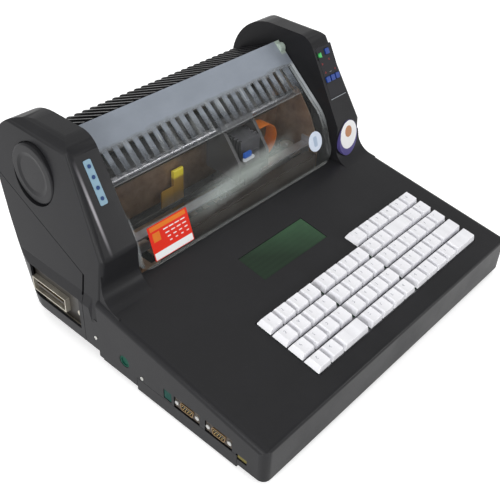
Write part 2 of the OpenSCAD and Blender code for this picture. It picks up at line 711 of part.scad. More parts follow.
module timing_belt() color("#1b1b1b") stand()
    translate([0, belt_y, belt_z]) linear_extrude(belt_h) difference() {
        belt_run(1.1);
        belt_run(0.1);
    }

module pulley() {
    cylinder(h = belt_h, r = pulley_r - 0.2, $fn = round_fn);
    translate([0, 0, -1.6]) cylinder(h = 1.6, r = pulley_r + 2, $fn = round_fn);
    translate([0, 0, belt_h + 0.2]) cylinder(h = 1.4, r = pulley_r + 2, $fn = round_fn);
    translate([0, 0, belt_h - over]) cylinder(h = 1.4, r = pulley_r - 1, $fn = round_fn);
}

module drive_pulley() color("#c9ccd0") stand() translate([-pulley_x, belt_y, belt_z]) {
    pulley();
    translate([0, 0, -18]) cylinder(h = 18, r = 2, $fn = round_fn);
}

module idler_pulley() color("#c9ccd0") stand() translate([pulley_x, belt_y, belt_z]) difference() {
    pulley();
    translate([0, 0, -3]) cylinder(h = belt_h + 8, r = 2 + play, $fn = round_fn);
}

module carriage_motor() color("#6d7074") stand() translate([-pulley_x, belt_y, 30]) difference() {
    union() {
        cylinder(h = 40, r = 15.5, $fn = round_fn);
        translate([0, 0, 39]) cylinder(h = 3, r = 6.5, $fn = round_fn);
    }
    translate([0, 0, 28]) cylinder(h = 20, r = 2 + play, $fn = round_fn);
}

module ribbon_cartridge() color("#4a3628") stand() difference() {
    union() {
        translate([0, 0, 60]) linear_extrude(24) polygon(eased([
            [-104, 215, 5], [132, 215, 5], [132, 230, 5], [-104, 230, 5]]));
        translate([0, 0, 82]) linear_extrude(4) polygon(eased([
            [-100, 216.5, 4], [128, 216.5, 4], [128, 228.5, 4], [-100, 228.5, 4]]));
        translate([-20, 222.5, 84]) cylinder(h = 5, r = 5, $fn = 32);
        // brackets on the chassis
        for (x = [-96, 124]) box([x - 4, x + 4], [217, 231], [chassis_z, 62]);
    }
    for (k = [0 : 15]) translate([-20, 222.5, 85.5]) rotate([0, 0, k * 22.5]) translate([5, 0, 0])
        cylinder(h = 5, r = 0.5, $fn = 16);
}

module paper_sensor() color("#e2c22a") stand() {
    across(-33, -19) polygon(eased([[281, chassis_z, 0], [285, chassis_z, 0], [285, 104, 2], [281, 108, 2]]));
    box([-36, -16], [278, 292], [chassis_z, chassis_z + 2]);
}

// ---------------------------------------------------------------- control panel

panel_x = 168;
panel_t = 64;
panel_w = 27;
panel_l = 58;
panel_step = 1;
led_at = [158, 84];
button_at = [[171, 85.5], [159.2, 56], [167.6, 56], [176, 56]];
button_w = 6.4;
button_out = 1.6;
strip_x = -166;
strip_t = 67;
strip_w = 8;
strip_l = 42;
strip_step = 0.8;

// Plate with rounded corners
module rounded(w, l, r) polygon(eased([
    for (p = [[-1, -1], [1, -1], [1, 1], [-1, 1]]) [p[0] * w / 2, p[1] * l / 2, r]]));

module control_panel() color("#232428") stand() difference() {
    on_slope(panel_x, panel_t) box(span(panel_w / 2), span(panel_l / 2), [-panel_step, 0.2]);
    for (b = button_at) on_slope(b[0], b[1])
        box(span(button_w / 2 + fit_gap), span(button_w / 2 + fit_gap), [-3, 3]);
    on_slope(led_at[0], led_at[1]) translate([0, 0, -3]) cylinder(h = 6, r = 2.6, $fn = round_fn);
}

module button_cap(at) color("#2347a8") stand() on_slope(at[0], at[1]) {
    translate([0, 0, -3]) linear_extrude(3 + button_out) rounded(button_w, button_w, 1);
    translate([0, 0, -7]) cylinder(h = 5, r = 2, $fn = 32);
}

module feed_button() button_cap(button_at[0]);
module left_button() button_cap(button_at[1]);
module middle_button() button_cap(button_at[2]);
module right_button() button_cap(button_at[3]);

module panel_led() color("#49d35c") stand() on_slope(led_at[0], led_at[1]) {
    translate([0, 0, -4]) cylinder(h = 5, r = 2.5, $fn = round_fn);
    translate([0, 0, -5]) cylinder(h = 1.2, r = 3.4, $fn = round_fn);
}

module indicator_strip() color("#8fc4e4") stand() on_slope(strip_x, strip_t) {
    translate([0, 0, -strip_step]) linear_extrude(1.1) rounded(strip_w, strip_l, 1.5);
    for (i = [0 : 3]) translate([0, (i - 1.5) * 10, 0]) cylinder(h = 0.7, r = 1.7, $fn = 32);
}

// ---------------------------------------------------------------- display and keyboard

module lcd_window() color("#2f5a3a") stand() on_deck(lcd_x, lcd_s)
    box(span(lcd_w / 2), span(lcd_l / 2), [-lcd_step, -0.5]);

module lcd_module() color("#1f3f8a") stand() on_deck(lcd_x, lcd_s) {
    box(span(lcd_w / 2 - frame_in - 0.5), span(lcd_l / 2 - frame_in - 0.5),
        [-lcd_board_drop, -lcd_step - 0.3]);
    difference() {
        box(span(56), span(26), [-lcd_board_drop - 1.6, -lcd_board_drop]);
        for (x = [-52, 52], y = [-22, 22]) translate([x, y, -12]) cylinder(h = 5, r = 1.6, $fn = 24);
    }
}

// Cap on its stem: tapered on all four sides and dished across the top
module key_cap(w) {
    foot = w * pitch - key_gap;
    top = foot - 4.6;
    low = -0.4;
    difference() {
        intersection() {
            along(-pitch, pitch)
                polygon([[-foot / 2, low], [foot / 2, low], [top / 2, key_h], [-top / 2, key_h]]);
            across(-foot, foot) polygon([
                [-(pitch - key_gap) / 2, low], [(pitch - key_gap) / 2, low], [6.2, key_h], [-7.6, key_h]]);
        }
        translate([0, 0, key_h + 27.3]) rotate([90, 0, 0])
            cylinder(h = 2 * pitch, r = w > 1 ? 28.1 : 28.4, center = true, $fn = 96);
    }
    box([-2.8, 2.8], [-2.8, 2.8], [-board_drop + key_travel + 0.8, low + 0.1]);
}

function block_start(b) = b == 0 ? 0 : b == 1 ? 4 : 8;

module key_group(r, b) color("#e9e9ec") stand() for (i = [0 : len(key_rows[r][b]) - 1]) {
    w = key_rows[r][b][i];
    c = block_start(b) + total(key_rows[r][b], i) + (w - 1) / 2;
    c0 = block_start(b);
    on_deck(key_x(c0) + (c - c0) * pitch, row4_s + (4 - r) * pitch) key_cap(w);
}

module key_holes(m, h0, h1) for (r = [0 : 4], b = [0 : 2]) if (len(key_rows[r][b]) > 0)
    for (i = [0 : len(key_rows[r][b]) - 1]) {
        c0 = block_start(b);
        c = total(key_rows[r][b], i) + (key_rows[r][b][i] - 1) / 2;
        on_deck(key_x(c0) + c * pitch, row4_s + (4 - r) * pitch) box([-m, m], [-m, m], [h0, h1]);
    }

// Holes of the bosses that pass a plate
module boss_holes(r, h0, h1)
    for (b = board_bosses) on_deck(b[0], b[1], h0) cylinder(h = h1 - h0, r = r, $fn = 32);

module keyboard_plate() color("#55585c") stand() difference() {
    key_field(plate_m, -plate_drop - 1.5, -plate_drop);
    key_holes(7, -plate_drop - 3, -plate_drop + 2);
    boss_holes(boss_r + fit_gap, -plate_drop - 3, -plate_drop + 2);
}

// Board with one switch housing under each key; the housings' shoulders carry the plate
module keyboard_board() color("#2e6b3f") stand() difference() {
    union() {
        key_field(plate_m, -board_drop - 1.6, -board_drop);
        key_holes(7.7, -board_drop - 0.2, -plate_drop - 1.5);
        key_holes(6.9, -plate_drop - 1.6, -plate_drop);
    }
    key_holes(3.2, -board_drop + 0.4, -plate_drop + 2);
    boss_holes(1.6, -board_drop - 3, -board_drop + 0.1);
}

// ---------------------------------------------------------------- electronics and sockets

module main_board() color("#2e6b3f") stand() {
    difference() {
        box([-195.5, 180], [14, 200], [9, 10.6]);
        for (x = [-170, 0, 170], y = [24, 190]) translate([x, y, 8]) cylinder(h = 4, r = 1.6, $fn = 24);
    }
    for (x = [-60, 20]) box([x, x + 34], [90, 108], [10.6, 13]);
    box([70, 90], [60, 80], [10.6, 14]);
    for (x = [-20, 0, 20]) translate([x, 150, 10.6]) cylinder(h = 12, r = 5, $fn = 32);
}

module power_supply() color("#a7abb0") stand() {
    difference() {
        box([60, 138], [256, 312], [30, 64]);
        box([61.5, 136.5], [257.5, 310.5], [31.5, 70]);
    }
    box([66, 100], [264, 300], [31.5, 58]);
    for (y = [270, 290]) translate([120, y, 31.5]) cylinder(h = 26, r = 8, $fn = round_fn);
    for (x = [64, 122]) box([x - 3, x + 3], [280, 288], [chassis_z, 30]);
}

port_yc = 282.5;
port_zc = 38;
port_shell = [26, 8];           // half width and half height of the shell
port_screw_y = 239;

module parallel_port() color("#c9c3b2") stand() {
    x = -half_w;
    difference() {
        union() {
            // bracket behind the window, folded to the wall in front and below
            box([x + 5.6, x + 7.1], [port_y[0] - 3, port_y[1] + 2], [port_z[0] - 4, port_z[1] + 4]);
            box([x + wall, x + 7.1], [port_y[0] - 3, port_y[0] - 1.5], [port_z[0] + 2, port_z[1] - 6]);
            box([x + wall, x + 7.1], [port_y[0] + 2, 296], [port_z[0] - 4, port_z[0] - 2.5]);
            box([x + 0.2, x + 12], [port_yc - port_shell[0], port_yc + port_shell[0]],
                [port_zc - port_shell[1], port_zc + port_shell[1]]);
        }
        box([x - over, x + 8.1], [port_yc - port_shell[0] + 1.4, port_yc + port_shell[0] - 1.4],
            [port_zc - port_shell[1] + 1.2, port_zc + port_shell[1] - 1.2]);
        rod(x, x + 11, port_screw_y, port_zc, 1.6);
    }
    // tongue
    box([x + 1.6, x + 9], [port_yc - 21, port_yc + 21], [port_zc - 1.2, port_zc + 1.2]);
    // retaining screw
    rod(x + 3.6, x + 5.6, port_screw_y, port_zc, 3.2);
    rod(x + 4.5, x + 10.5, port_screw_y, port_zc, 1.5);
}

module serial_ports() color("#b9a45a") stand() for (y = serial_y) {
    x = -half_w;
    box([x + 1.2, x + 2.2], [y - 15.4, y + 15.4], [serial_z - 6.3, serial_z + 6.3]);
    across(x + 0.1, x + 2) translate([y, serial_z]) difference() {
        polygon(eased([[-8.4, 4.2, 2], [8.4, 4.2, 2], [7, -4.2, 2], [-7, -4.2, 2]]));
        polygon(eased([[-7.6, 3.4, 1.5], [7.6, 3.4, 1.5], [6.3, -3.4, 1.5], [-6.3, -3.4, 1.5]]));
    }
    box([x + 2, x + 12], [y - 10, y + 10], [serial_z - 6, serial_z + 5]);
    box([x + 2.7, x + 12], [y - 10, y + 10], [10.6, serial_z - 5]);
    for (k = [-12.5, 12.5]) translate([x + 0.1, y + k, serial_z]) rotate([0, 90, 0])
        cylinder(h = 1.4, r = 2.4, $fn = 6);
}

module side_sockets() color("#2e8a86") stand() {
    x = -half_w;
    difference() {
        rod(x + 0.4, x + 12, 172, 24, 6.2);
        rod(x - over, x + 1.6, 172, 24, 4.6);
    }
    box([x + 5.4, x + 13], [165, 179], [10.6, 31]);
    box([x + 0.5, x + 12], [110, 119], [17.4, 28]);
    box([x + 3, x + 13], [108, 121], [10.6, 29]);
    box([x + 1.4, x + 12], [20.5, 31.5], [11.4, 17]);
    box([x + 5.6, x + 12], [20.5, 31.5], [10.6, 12]);
}

// Mains inlet and switch in the sloping rear wall
module on_rear(x, z)
    translate([x, rear_y, rear_z]) rotate([-rear_lean, 0, 0])
        translate([0, 0, (z - rear_z) / cos(rear_lean)]) children();

module mains_inlet() color("#17181a") stand() {
    on_rear(inlet_x, inlet_z) difference() {
        union() {
            box([-16, 16], [0.1, 1.6], [-12, 12]);
            box([-13.4, 13.4], [-18, 0.2], [-9.4, 9.4]);
        }
        box([-11.5, 11.5], [-14, 3], [-7.5, 7.5]);
    }
    for (p = [[-7, -2], [0, 2.5], [7, -2]]) on_rear(inlet_x + p[0], inlet_z + p[1])
        box(span(1), [-15, -3], span(2));
}

rocker_tilt = 8;
rocker_pivot = -2;
pivot_r = 1.2;

module power_switch() color("#1a1b1d") stand() on_rear(switch_x, inlet_z) difference() {
    union() {
        box([-11.5, 11.5], [0.1, 1.4], [-8.6, 8.6]);
        box([-9.8, 9.8], [-14, 0.1], [-6.8, 6.8]);
    }
    box([-8.9, 8.9], [-6.4, 3], [-6.2, 6.2]);
    rod(-9.6, 9.6, rocker_pivot, 0, pivot_r + play);
}

module switch_rocker() color("#2b2c2f") stand() on_rear(switch_x, inlet_z)
    translate([0, rocker_pivot, 0]) rotate([rocker_tilt, 0, 0]) {
        across(-8.5, 8.5) polygon([[-3, -4.6], [4.6, -5.2], [3.4, 0], [4.6, 5.2], [-3, 4.6]]);
        rod(-9.3, 9.3, 0, 0, pivot_r);
    }

base_tray();
upper_case();
rear_case();
feet();
case_screws();
lid();
lid_grille();
rear_paper_guide();
platen_roller();
platen_shaft();
platen_gear();
feed_knob();
feed_pinion();
feed_motor();
left_side_plate();
right_side_plate();
chassis_plate();
guide_rod();
guide_rail();
carriage();
print_head();
flex_cable();
timing_belt();
drive_pulley();
idler_pulley();
carriage_motor();
ribbon_cartridge();
paper_sensor();
control_panel();
panel_led();
indicator_strip();
feed_button();
left_button();
middle_button();
right_button();
lcd_window();
lcd_module();
keyboard_plate();
keyboard_board();
main_board();
power_supply();
parallel_port();
serial_ports();
side_sockets();
mains_inlet();
power_switch();
switch_rocker();
key_group(0, 2);  // keys_row1_block3
key_group(1, 0);  // keys_row2_block1
key_group(1, 1);  // keys_row2_block2
key_group(1, 2);  // keys_row2_block3
key_group(2, 0);  // keys_row3_block1
key_group(2, 1);  // keys_row3_block2
key_group(2, 2);  // keys_row3_block3
key_group(3, 0);  // keys_row4_block1
key_group(3, 1);  // keys_row4_block2
key_group(3, 2);  // keys_row4_block3
key_group(4, 0);  // keys_row5_block1
key_group(4, 1);  // keys_row5_block2
key_group(4, 2);  // keys_row5_block3
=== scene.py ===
import json
import math

import bpy
from bpy.props import FloatProperty, FloatVectorProperty, PointerProperty
from mathutils import Matrix, Vector

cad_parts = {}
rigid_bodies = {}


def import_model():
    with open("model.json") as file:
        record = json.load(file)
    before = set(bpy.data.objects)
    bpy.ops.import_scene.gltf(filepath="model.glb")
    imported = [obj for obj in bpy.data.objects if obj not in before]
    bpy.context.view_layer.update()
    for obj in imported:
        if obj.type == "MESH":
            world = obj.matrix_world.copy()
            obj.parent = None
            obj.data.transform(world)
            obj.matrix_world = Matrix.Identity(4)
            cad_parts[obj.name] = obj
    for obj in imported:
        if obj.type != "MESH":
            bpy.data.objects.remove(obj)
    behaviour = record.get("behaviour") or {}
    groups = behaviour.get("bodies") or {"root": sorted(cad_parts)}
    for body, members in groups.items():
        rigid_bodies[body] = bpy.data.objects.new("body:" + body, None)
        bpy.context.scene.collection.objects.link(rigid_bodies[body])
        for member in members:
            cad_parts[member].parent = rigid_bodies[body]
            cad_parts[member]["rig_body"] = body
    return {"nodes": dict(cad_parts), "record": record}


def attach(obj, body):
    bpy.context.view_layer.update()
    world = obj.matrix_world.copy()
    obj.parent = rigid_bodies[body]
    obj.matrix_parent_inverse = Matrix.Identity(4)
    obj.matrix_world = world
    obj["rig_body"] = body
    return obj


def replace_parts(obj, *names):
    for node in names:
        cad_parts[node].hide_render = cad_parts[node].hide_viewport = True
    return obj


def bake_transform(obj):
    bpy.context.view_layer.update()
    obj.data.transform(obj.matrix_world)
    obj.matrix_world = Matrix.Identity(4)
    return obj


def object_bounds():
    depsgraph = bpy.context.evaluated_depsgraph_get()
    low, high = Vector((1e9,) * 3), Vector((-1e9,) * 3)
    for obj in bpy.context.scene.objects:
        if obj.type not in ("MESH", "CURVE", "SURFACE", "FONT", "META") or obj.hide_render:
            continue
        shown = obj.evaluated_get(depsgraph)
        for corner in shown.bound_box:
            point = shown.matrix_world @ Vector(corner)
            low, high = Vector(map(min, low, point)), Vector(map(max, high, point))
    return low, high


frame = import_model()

bl_info = {
    "name": "Ticket Register",
    "version": (1, 0, 0),
    "blender": (4, 5, 0),
    "location": "View3D > Sidebar > Register",
    "description": "Builds the surfaces and the fine pieces of a counter ticket register",
    "category": "Object",
}

CAD_BOX = [list(corner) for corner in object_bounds()]
MM = 0.001
NODES = frame["nodes"]
UPRIGHT = math.pi / 2

# The unit's front edge in the scene, in metres, and its base over the floor, in millimetres
FRONT_EDGE = CAD_BOX[0][1]
FOOT_HEIGHT = 3.0

# Reference places of the unit in its side view: millimetres behind its front edge and over its base
DECK_FRONT_HEIGHT = 43.0
DECK_SLOPE = math.radians(8.76)
CHEEK_KNEE = (204.0, 114.9)
CHEEK_SLOPE = math.radians(60.67)
LID_FOOT = (204.17, 76.05)
LID_KNEE = (222.7, 127.0)
LID_BACK = (298.0, 192.5)
# Distance from the middle to the left flank
FLANK = 201.0

# Words on the keys from the left, by row and block, and the number of the one whose key is two pitches wide
KEY_WORDS = {
    (1, 3): "F1 F2 F3 F4 F5 F6",
    (2, 1): "1 2 3 4", (2, 2): "5 6 7 8", (2, 3): "9 0 DEL - +",
    (3, 1): "Q W E R", (3, 2): "T Y U I", (3, 3): "O P 7 8 9 *",
    (4, 1): "A S D F", (4, 2): "G H J K", (4, 3): "L 4 5 6 ENTER",
    (5, 1): "Z X SHIFT", (5, 2): "C V B N", (5, 3): "M 1 2 3 0",
}
WIDE_KEYS = {(2, 3): 2, (4, 3): 4, (5, 1): 2, (5, 3): 4}
LAST_ROW = 5
BLOCK_COLUMNS = 4
KEY_PITCH = 19.05
BLOCK_GAP = 3.5
# Middle of the front row's first place on the deck, and height of the key tops over the deck
FIRST_COLUMN = -97.1
FRONT_ROW = 31.37
KEY_TOP = 6.62

# Zones of the lid, as shares of its upper flat that lie below them
SLOTS_FROM = 0.36
FROST_FROM = 0.66
# Where its rims and hinge lugs start, in millimetres from the middle, before its back and over its foot
RIM_X = 143.5
LEFT_RIM_X = -140.5
LUG_X = 141.0
LUG_REACH = 13.5
FOOT_RIM = 1.8
# The painted reflection streak lies this share of the flat under the bend at the middle, and climbs this
# share for each metre to the right
GLARE_DROP = 0.145
GLARE_RISE = 0.7

# Printer: places in the side view, distances behind the front edge, and from the middle to the right
PLATEN = (302.0, 126.0)
CHUTE_RADIUS = 19.0
SIDE_PLATE_X = 141.0
HEAD_FRONT = 233.9
HEAD_SIDE_X = 54.0
SHOE_BACK = 283.0
SENSOR_TIP = 94.0
POST_BACK = 266.5
FLEX_LOOP_X = 81.0
FLEX_RADIUS = 19.7
FLEX_HEIGHTS = (87.3, 126.7)
FLEX_BACK = 261.0
FLEX_WIDTH = 16.0
FLEX_END_X = 24.0

# Sockets and screws on the left flank: distance behind the front edge, height
SERIAL_PORTS = ((52.5, 22.5), (90.5, 22.5))
PARALLEL_PORT = (282.5, 38.0)
FLANK_SCREWS = ((212.0, 27.0), (148.0, 19.5))
PIN_PITCH = 2.75
CONTACT_PITCH = 2.16
CONTACTS_IN_ROW = 18

# Stickers on the lid's lower flat: distance from the middle, height up the flat
LID_STICKER = (-102.5, 22.0)
ROUND_STICKER = (124.0, 31.0)
# Thickness of a sticker's film and of the print on it, and the gap under the film
FILM = 0.15
INK = 0.08
GAP = 0.02

# Edges that turn more than this stay sharp or are broken; curves turn less at each step
CURVE_ANGLE = math.radians(32)
# Plane walls of at least this area, in square metres, are shaded flat
WALL_AREA = 0.0010


def from_front(y):
    """Scene coordinate of a distance behind the front edge, in millimetres."""
    return FRONT_EDGE + y * MM


def over_base(z):
    """Scene coordinate of a height over the base, in millimetres."""
    return (z + FOOT_HEIGHT) * MM


def place(x, y, z):
    """A point of the unit, from millimetres off its middle, front edge and base."""
    return Vector((x * MM, from_front(y), over_base(z)))


def plane(x, y, z, tilt, turn=0.0):
    """A frame in millimetres at a point; its second axis climbs at the tilt, the turn is seen from above."""
    turned = Matrix.Rotation(turn, 4, "Z") @ Matrix.Rotation(tilt, 4, "X")
    return Matrix.Translation(place(x, y, z)) @ turned @ Matrix.Scale(MM, 4)


def climb_angle(low, high):
    """Angle at which a line between two places climbs to the rear."""
    return math.atan2(high[1] - low[1], high[0] - low[0])


DECK = plane(0, 0, DECK_FRONT_HEIGHT, DECK_SLOPE)
CHEEK = plane(0, *CHEEK_KNEE, CHEEK_SLOPE)
LID_LOW = plane(0, *LID_FOOT, climb_angle(LID_FOOT, LID_KNEE))
LID_RISE = climb_angle(LID_KNEE, LID_BACK)
LID_FLAT = math.dist(LID_KNEE, LID_BACK)
# The flank's first axis points forwards, so that what stands behind the front edge is negative on it
LEFT_FLANK = plane(-FLANK, 0, 0, UPRIGHT, -UPRIGHT)
SIDE_VIEW = plane(0, 0, 0, UPRIGHT, UPRIGHT)


# ------------------------------------------------------------------ settings

def colour_setting(name, description, default):
    """A colour that a user may change."""
    return FloatVectorProperty(name=name, description=description, subtype="COLOR", default=default)


def share_setting(name, description, default):
    """A share or a roughness that a user may change."""
    return FloatProperty(name=name, description=description, default=default, min=0, max=1)


def length_setting(name, description, default):
    """A length that a user may change."""
    return FloatProperty(name=name, description=description, default=default, min=0, unit="LENGTH")


def power_setting(name, description, default):
    """The power of a lamp in watts, or the strength of the world's light."""
    return FloatProperty(name=name, description=description, default=default, min=0)


class StageSettings(bpy.types.PropertyGroup):
    """Camera and light."""
    camera_place: FloatVectorProperty(
        name="Camera place", description="Where the camera stands", subtype="TRANSLATION", unit="LENGTH",
        default=(-0.5060, -0.4164, 0.5526))
    camera_turn: FloatVectorProperty(
        name="Camera turn", description="Azimuth, elevation and roll of the camera", subtype="EULER",
        unit="ROTATION", default=(math.radians(-49.66), math.radians(38.19), math.radians(2.83)))
    lens: FloatProperty(name="Lens", description="Focal length on a 36 mm sensor", default=55.97, min=10)
    top_light: power_setting("Top light", "Power of the large overhead lamp in watts", 9.0)
    side_light: power_setting("Side light", "Power of the low left-hand lamp in watts", 15.0)
    edge_light: power_setting("Edge light", "Power of the small lamp at the cheek's edge in watts", 8.0)
    lid_light: power_setting("Lid light", "Power of the lamp that shines on the lid's bend in watts", 9.0)
    world_light: power_setting("World light", "Strength of the surrounding light", 0.62)


class CaseSettings(bpy.types.PropertyGroup):
    """Moulded black shells."""
    colour: colour_setting("Colour", "Colour of the moulded shells", (0.0130, 0.0130, 0.0142))
    roughness: share_setting("Roughness", "Roughness of the moulded texture", 0.36)
    sheen: share_setting("Sheen", "Share of light that the moulded texture mirrors", 0.11)
    grain: length_setting("Grain", "Size of the moulded texture's grain", 0.0007)
    edge: length_setting("Edge", "Width of the broken edges", 0.0005)


class LidSettings(bpy.types.PropertyGroup):
    """Clear hinged lid."""
    tint: colour_setting("Tint", "Colour of the clear plastic's haze", (0.30, 0.31, 0.30))
    frost: colour_setting("Frost", "Colour of the lid's frosted rear and of its grille", (0.255, 0.285, 0.33))
    haze: share_setting("Haze", "Share of light that the clear plastic stops", 0.025)
    frosting: share_setting("Frosting", "Share of light that the frosted zones stop", 0.86)


class KeySettings(bpy.types.PropertyGroup):
    """Key caps."""
    colour: colour_setting("Colour", "Colour of the caps", (0.77, 0.77, 0.80))
    legend: colour_setting("Legend", "Colour of the printed legends", (0.30, 0.31, 0.35))
    legend_height: length_setting("Legend height", "Height of a printed letter", 0.0046)


class LabelSettings(bpy.types.PropertyGroup):
    """Plain stickers."""
    red: colour_setting("Red", "Field of the lid's sticker", (0.66, 0.020, 0.006))
    amber: colour_setting("Amber", "Bars of the lid's sticker", (0.66, 0.17, 0.015))
    white: colour_setting("White", "White print", (0.76, 0.76, 0.76))
    violet: colour_setting("Violet", "Band of the oval badge", (0.075, 0.062, 0.20))
    tan: colour_setting("Tan", "Ring of the oval badge", (0.42, 0.20, 0.10))


def settings(context):
    """The register's settings in the scene."""
    return context.scene.ticket_register


# ------------------------------------------------------------------ materials

class Wire:
    """A number or colour that varies over a surface, with arithmetic."""

    def __init__(self, tree, socket):
        self.tree = tree
        self.socket = socket

    def _maths(self, operation, first, second):
        node = self.tree.nodes.new("ShaderNodeMath")
        node.operation = operation
        for socket, value in zip(node.inputs, (first, second)):
            if isinstance(value, Wire):
                self.tree.links.new(value.socket, socket)
            else:
                socket.default_value = value
        return Wire(self.tree, node.outputs[0])

    def __add__(self, other):
        return self._maths("ADD", self, other)

    def __radd__(self, other):
        return self._maths("ADD", other, self)

    def __sub__(self, other):
        return self._maths("SUBTRACT", self, other)

    def __rsub__(self, other):
        return self._maths("SUBTRACT", other, self)

    def __mul__(self, other):
        return self._maths("MULTIPLY", self, other)

    def __rmul__(self, other):
        return self._maths("MULTIPLY", other, self)

    def __gt__(self, other):
        return self._maths("GREATER_THAN", self, other)

    def __lt__(self, other):
        return self._maths("LESS_THAN", self, other)


class Finish:
    """The node tree of one material."""

    def __init__(self, name):
        self.material = bpy.data.materials.new(name)
        self.material.use_nodes = True
        self.tree = self.material.node_tree
        self.tree.nodes.clear()
        self.object_place = self.node("ShaderNodeTexCoord", output="Object")

    def node(self, kind, choices=None, output=0, **inputs):
        """Adds any node: its choices first, then its sockets, by name or as an underscore and a number."""
        made = self.tree.nodes.new(kind)
        for name, value in (choices or {}).items():
            setattr(made, name, value)
        for name, value in inputs.items():
            socket = made.inputs[int(name[1:])] if name[1:].isdigit() else made.inputs[name.replace("_", " ")]
            if isinstance(value, Wire):
                self.tree.links.new(value.socket, socket)
            elif value is not None:
                socket.default_value = value
        return Wire(self.tree, made.outputs[output]) if made.outputs else None

    def stretched(self, scale):
        """Object coordinates scaled differently along each axis."""
        return self.node("ShaderNodeMapping", Vector=self.object_place, Scale=scale)

    def noise(self, size, detail=2.0, vector=None, roughness=0.5):
        """Cloudy noise whose patches are about as large as the size, in metres."""
        return self.node("ShaderNodeTexNoise", output="Fac", Vector=vector or self.object_place,
                         Scale=1 / size, Detail=detail, Roughness=roughness)

    def specks(self, size):
        """Distance to the nearest of many scattered points that stand about a size apart."""
        return self.node("ShaderNodeTexVoronoi", output="Distance", Vector=self.object_place, Scale=1 / size)

    def bands(self, scale):
        """Bands across the second axis."""
        choices = {"wave_type": "BANDS", "bands_direction": "Y", "wave_profile": "SIN"}
        return self.node("ShaderNodeTexWave", choices, Vector=self.object_place, Scale=scale)

    def mix(self, amount, first, second):
        """The second colour over the first, by the amount."""
        under, over = ((*c, 1) if not isinstance(c, Wire) else c for c in (first, second))
        return self.node("ShaderNodeMix", {"data_type": "RGBA"}, output=2, _0=amount, _6=under, _7=over)

    def spread(self, wire, low, high):
        """Wire rescaled so that low becomes 0 and high becomes 1, held between them."""
        return self.node("ShaderNodeMapRange", {"clamp": True}, Value=wire, From_Min=low, From_Max=high)

    def bump(self, height, depth, strength=1.0):
        """Normal that a height draws, with its depth in metres."""
        return self.node("ShaderNodeBump", Height=height, Distance=depth, Strength=strength)

    def step(self, wire, start, width):
        """0 up to the start and 1 from a width beyond it, in millimetres; a negative width looks back."""
        return self.spread(wire, start * MM, (start + width) * MM)

    def axis(self, which):
        """One of the object coordinates, in metres."""
        return self.node("ShaderNodeSeparateXYZ", output=which, Vector=self.object_place)

    def off(self, which, middle=0.0):
        """Distance to both sides of a middle along one axis, in metres."""
        return self.maths("ABSOLUTE", self.axis(which) - middle)

    def maths(self, operation, first, second=0.0):
        """A Math node for an operation that has no sign in Python."""
        return self.node("ShaderNodeMath", {"operation": operation}, _0=first, _1=second)

    def most(self, first, second):
        """The larger of two."""
        return self.maths("MAXIMUM", first, second)

    def surface(self, colour, roughness, normal=None, metallic=0.0, **further):
        """Ends the tree in one Principled shader, with any further sockets by name."""
        inputs = {"Base_Color": colour if isinstance(colour, Wire) else (*colour, 1), "Roughness": roughness,
                  "Metallic": metallic, "Normal": normal}
        shader = self.node("ShaderNodeBsdfPrincipled", **inputs, **further)
        self.node("ShaderNodeOutputMaterial", Surface=shader)
        return self.material


def seen_directly(tree):
    """1 where the camera, a mirror or a window sees the surface, 0 where it only gives light."""
    rays = tree.nodes.new("ShaderNodeLightPath")
    camera, mirror, window = (Wire(tree, rays.outputs[f"Is {kind} Ray"])
                              for kind in ("Camera", "Glossy", "Transmission"))
    return camera + mirror + window > 0.5


def shade(colour, factor):
    """A colour made darker or lighter."""
    return tuple(min(1.0, c * factor) for c in colour)


def painted_shoulder_highlight(f):
    """Painted highlight: a pale streak down the left cheek's slope along its shoulder; 0 everywhere else."""
    shoulder_x, lean = -179.5 * MM, 0.02
    knee = place(0, *CHEEK_KNEE)
    back, up = f.axis("Y") - knee.y, f.axis("Z") - knee.z
    lift = f.maths("ABSOLUTE", up * math.cos(CHEEK_SLOPE) - back * math.sin(CHEEK_SLOPE))
    aside = f.maths("ABSOLUTE", f.axis("X") - up * lean - shoulder_x)
    # Both ends of the streak fade over 35 mm
    along = f.step(up, 0, 35) * f.step(up, 80, -35)
    return f.step(aside, 2.0, -1.6) * (lift < 1.2 * MM) * along


def moulded_plastic(name, colour, roughness, grain, wear=0.25, depth=0.00006, sheen=0.4, with_shoulder_highlight=False):
    """Spark-eroded moulding: fine grain, faint handling marks and dust in the texture, and where told a
    painted highlight streak on the left cheek's shoulder.
    """
    f = Finish(name)
    fine = f.noise(grain, 3, roughness=0.6)
    pits = f.specks(grain * 1.7)
    marks = f.spread(f.noise(0.055, 5, roughness=0.62), 0.42, 0.72)
    dust = f.spread(f.noise(0.0016, 2), 0.64, 0.80)
    handled = f.mix(marks * wear, colour, shade(colour, 1.9))
    base = f.mix(dust * (wear * 0.5), handled, shade(colour, 4.5))
    rough = roughness + (marks - 0.5) * 0.10 + (fine - 0.5) * 0.12
    if with_shoulder_highlight:
        # Painted highlight: pale colour and lower roughness along the left cheek's shoulder
        shoulder = painted_shoulder_highlight(f)
        base = f.mix(shoulder, base, (0.30, 0.29, 0.31))
        rough = rough - shoulder * 0.12
    texture = f.bump(fine * 0.7 + pits * 0.5, depth, 0.7)
    return f.surface(base, rough, texture, Specular_IOR_Level=sheen)


def rubber(name, colour, grain=0.0009):
    """Dull rubber with scuffs."""
    f = Finish(name)
    fine = f.noise(grain, 4, roughness=0.7)
    scuffs = f.spread(f.noise(0.012, 4), 0.5, 0.8)
    base = f.mix(scuffs * 0.6, colour, shade(colour, 3.0))
    return f.surface(base, 0.72 + (fine - 0.5) * 0.2, f.bump(fine, 0.00008))


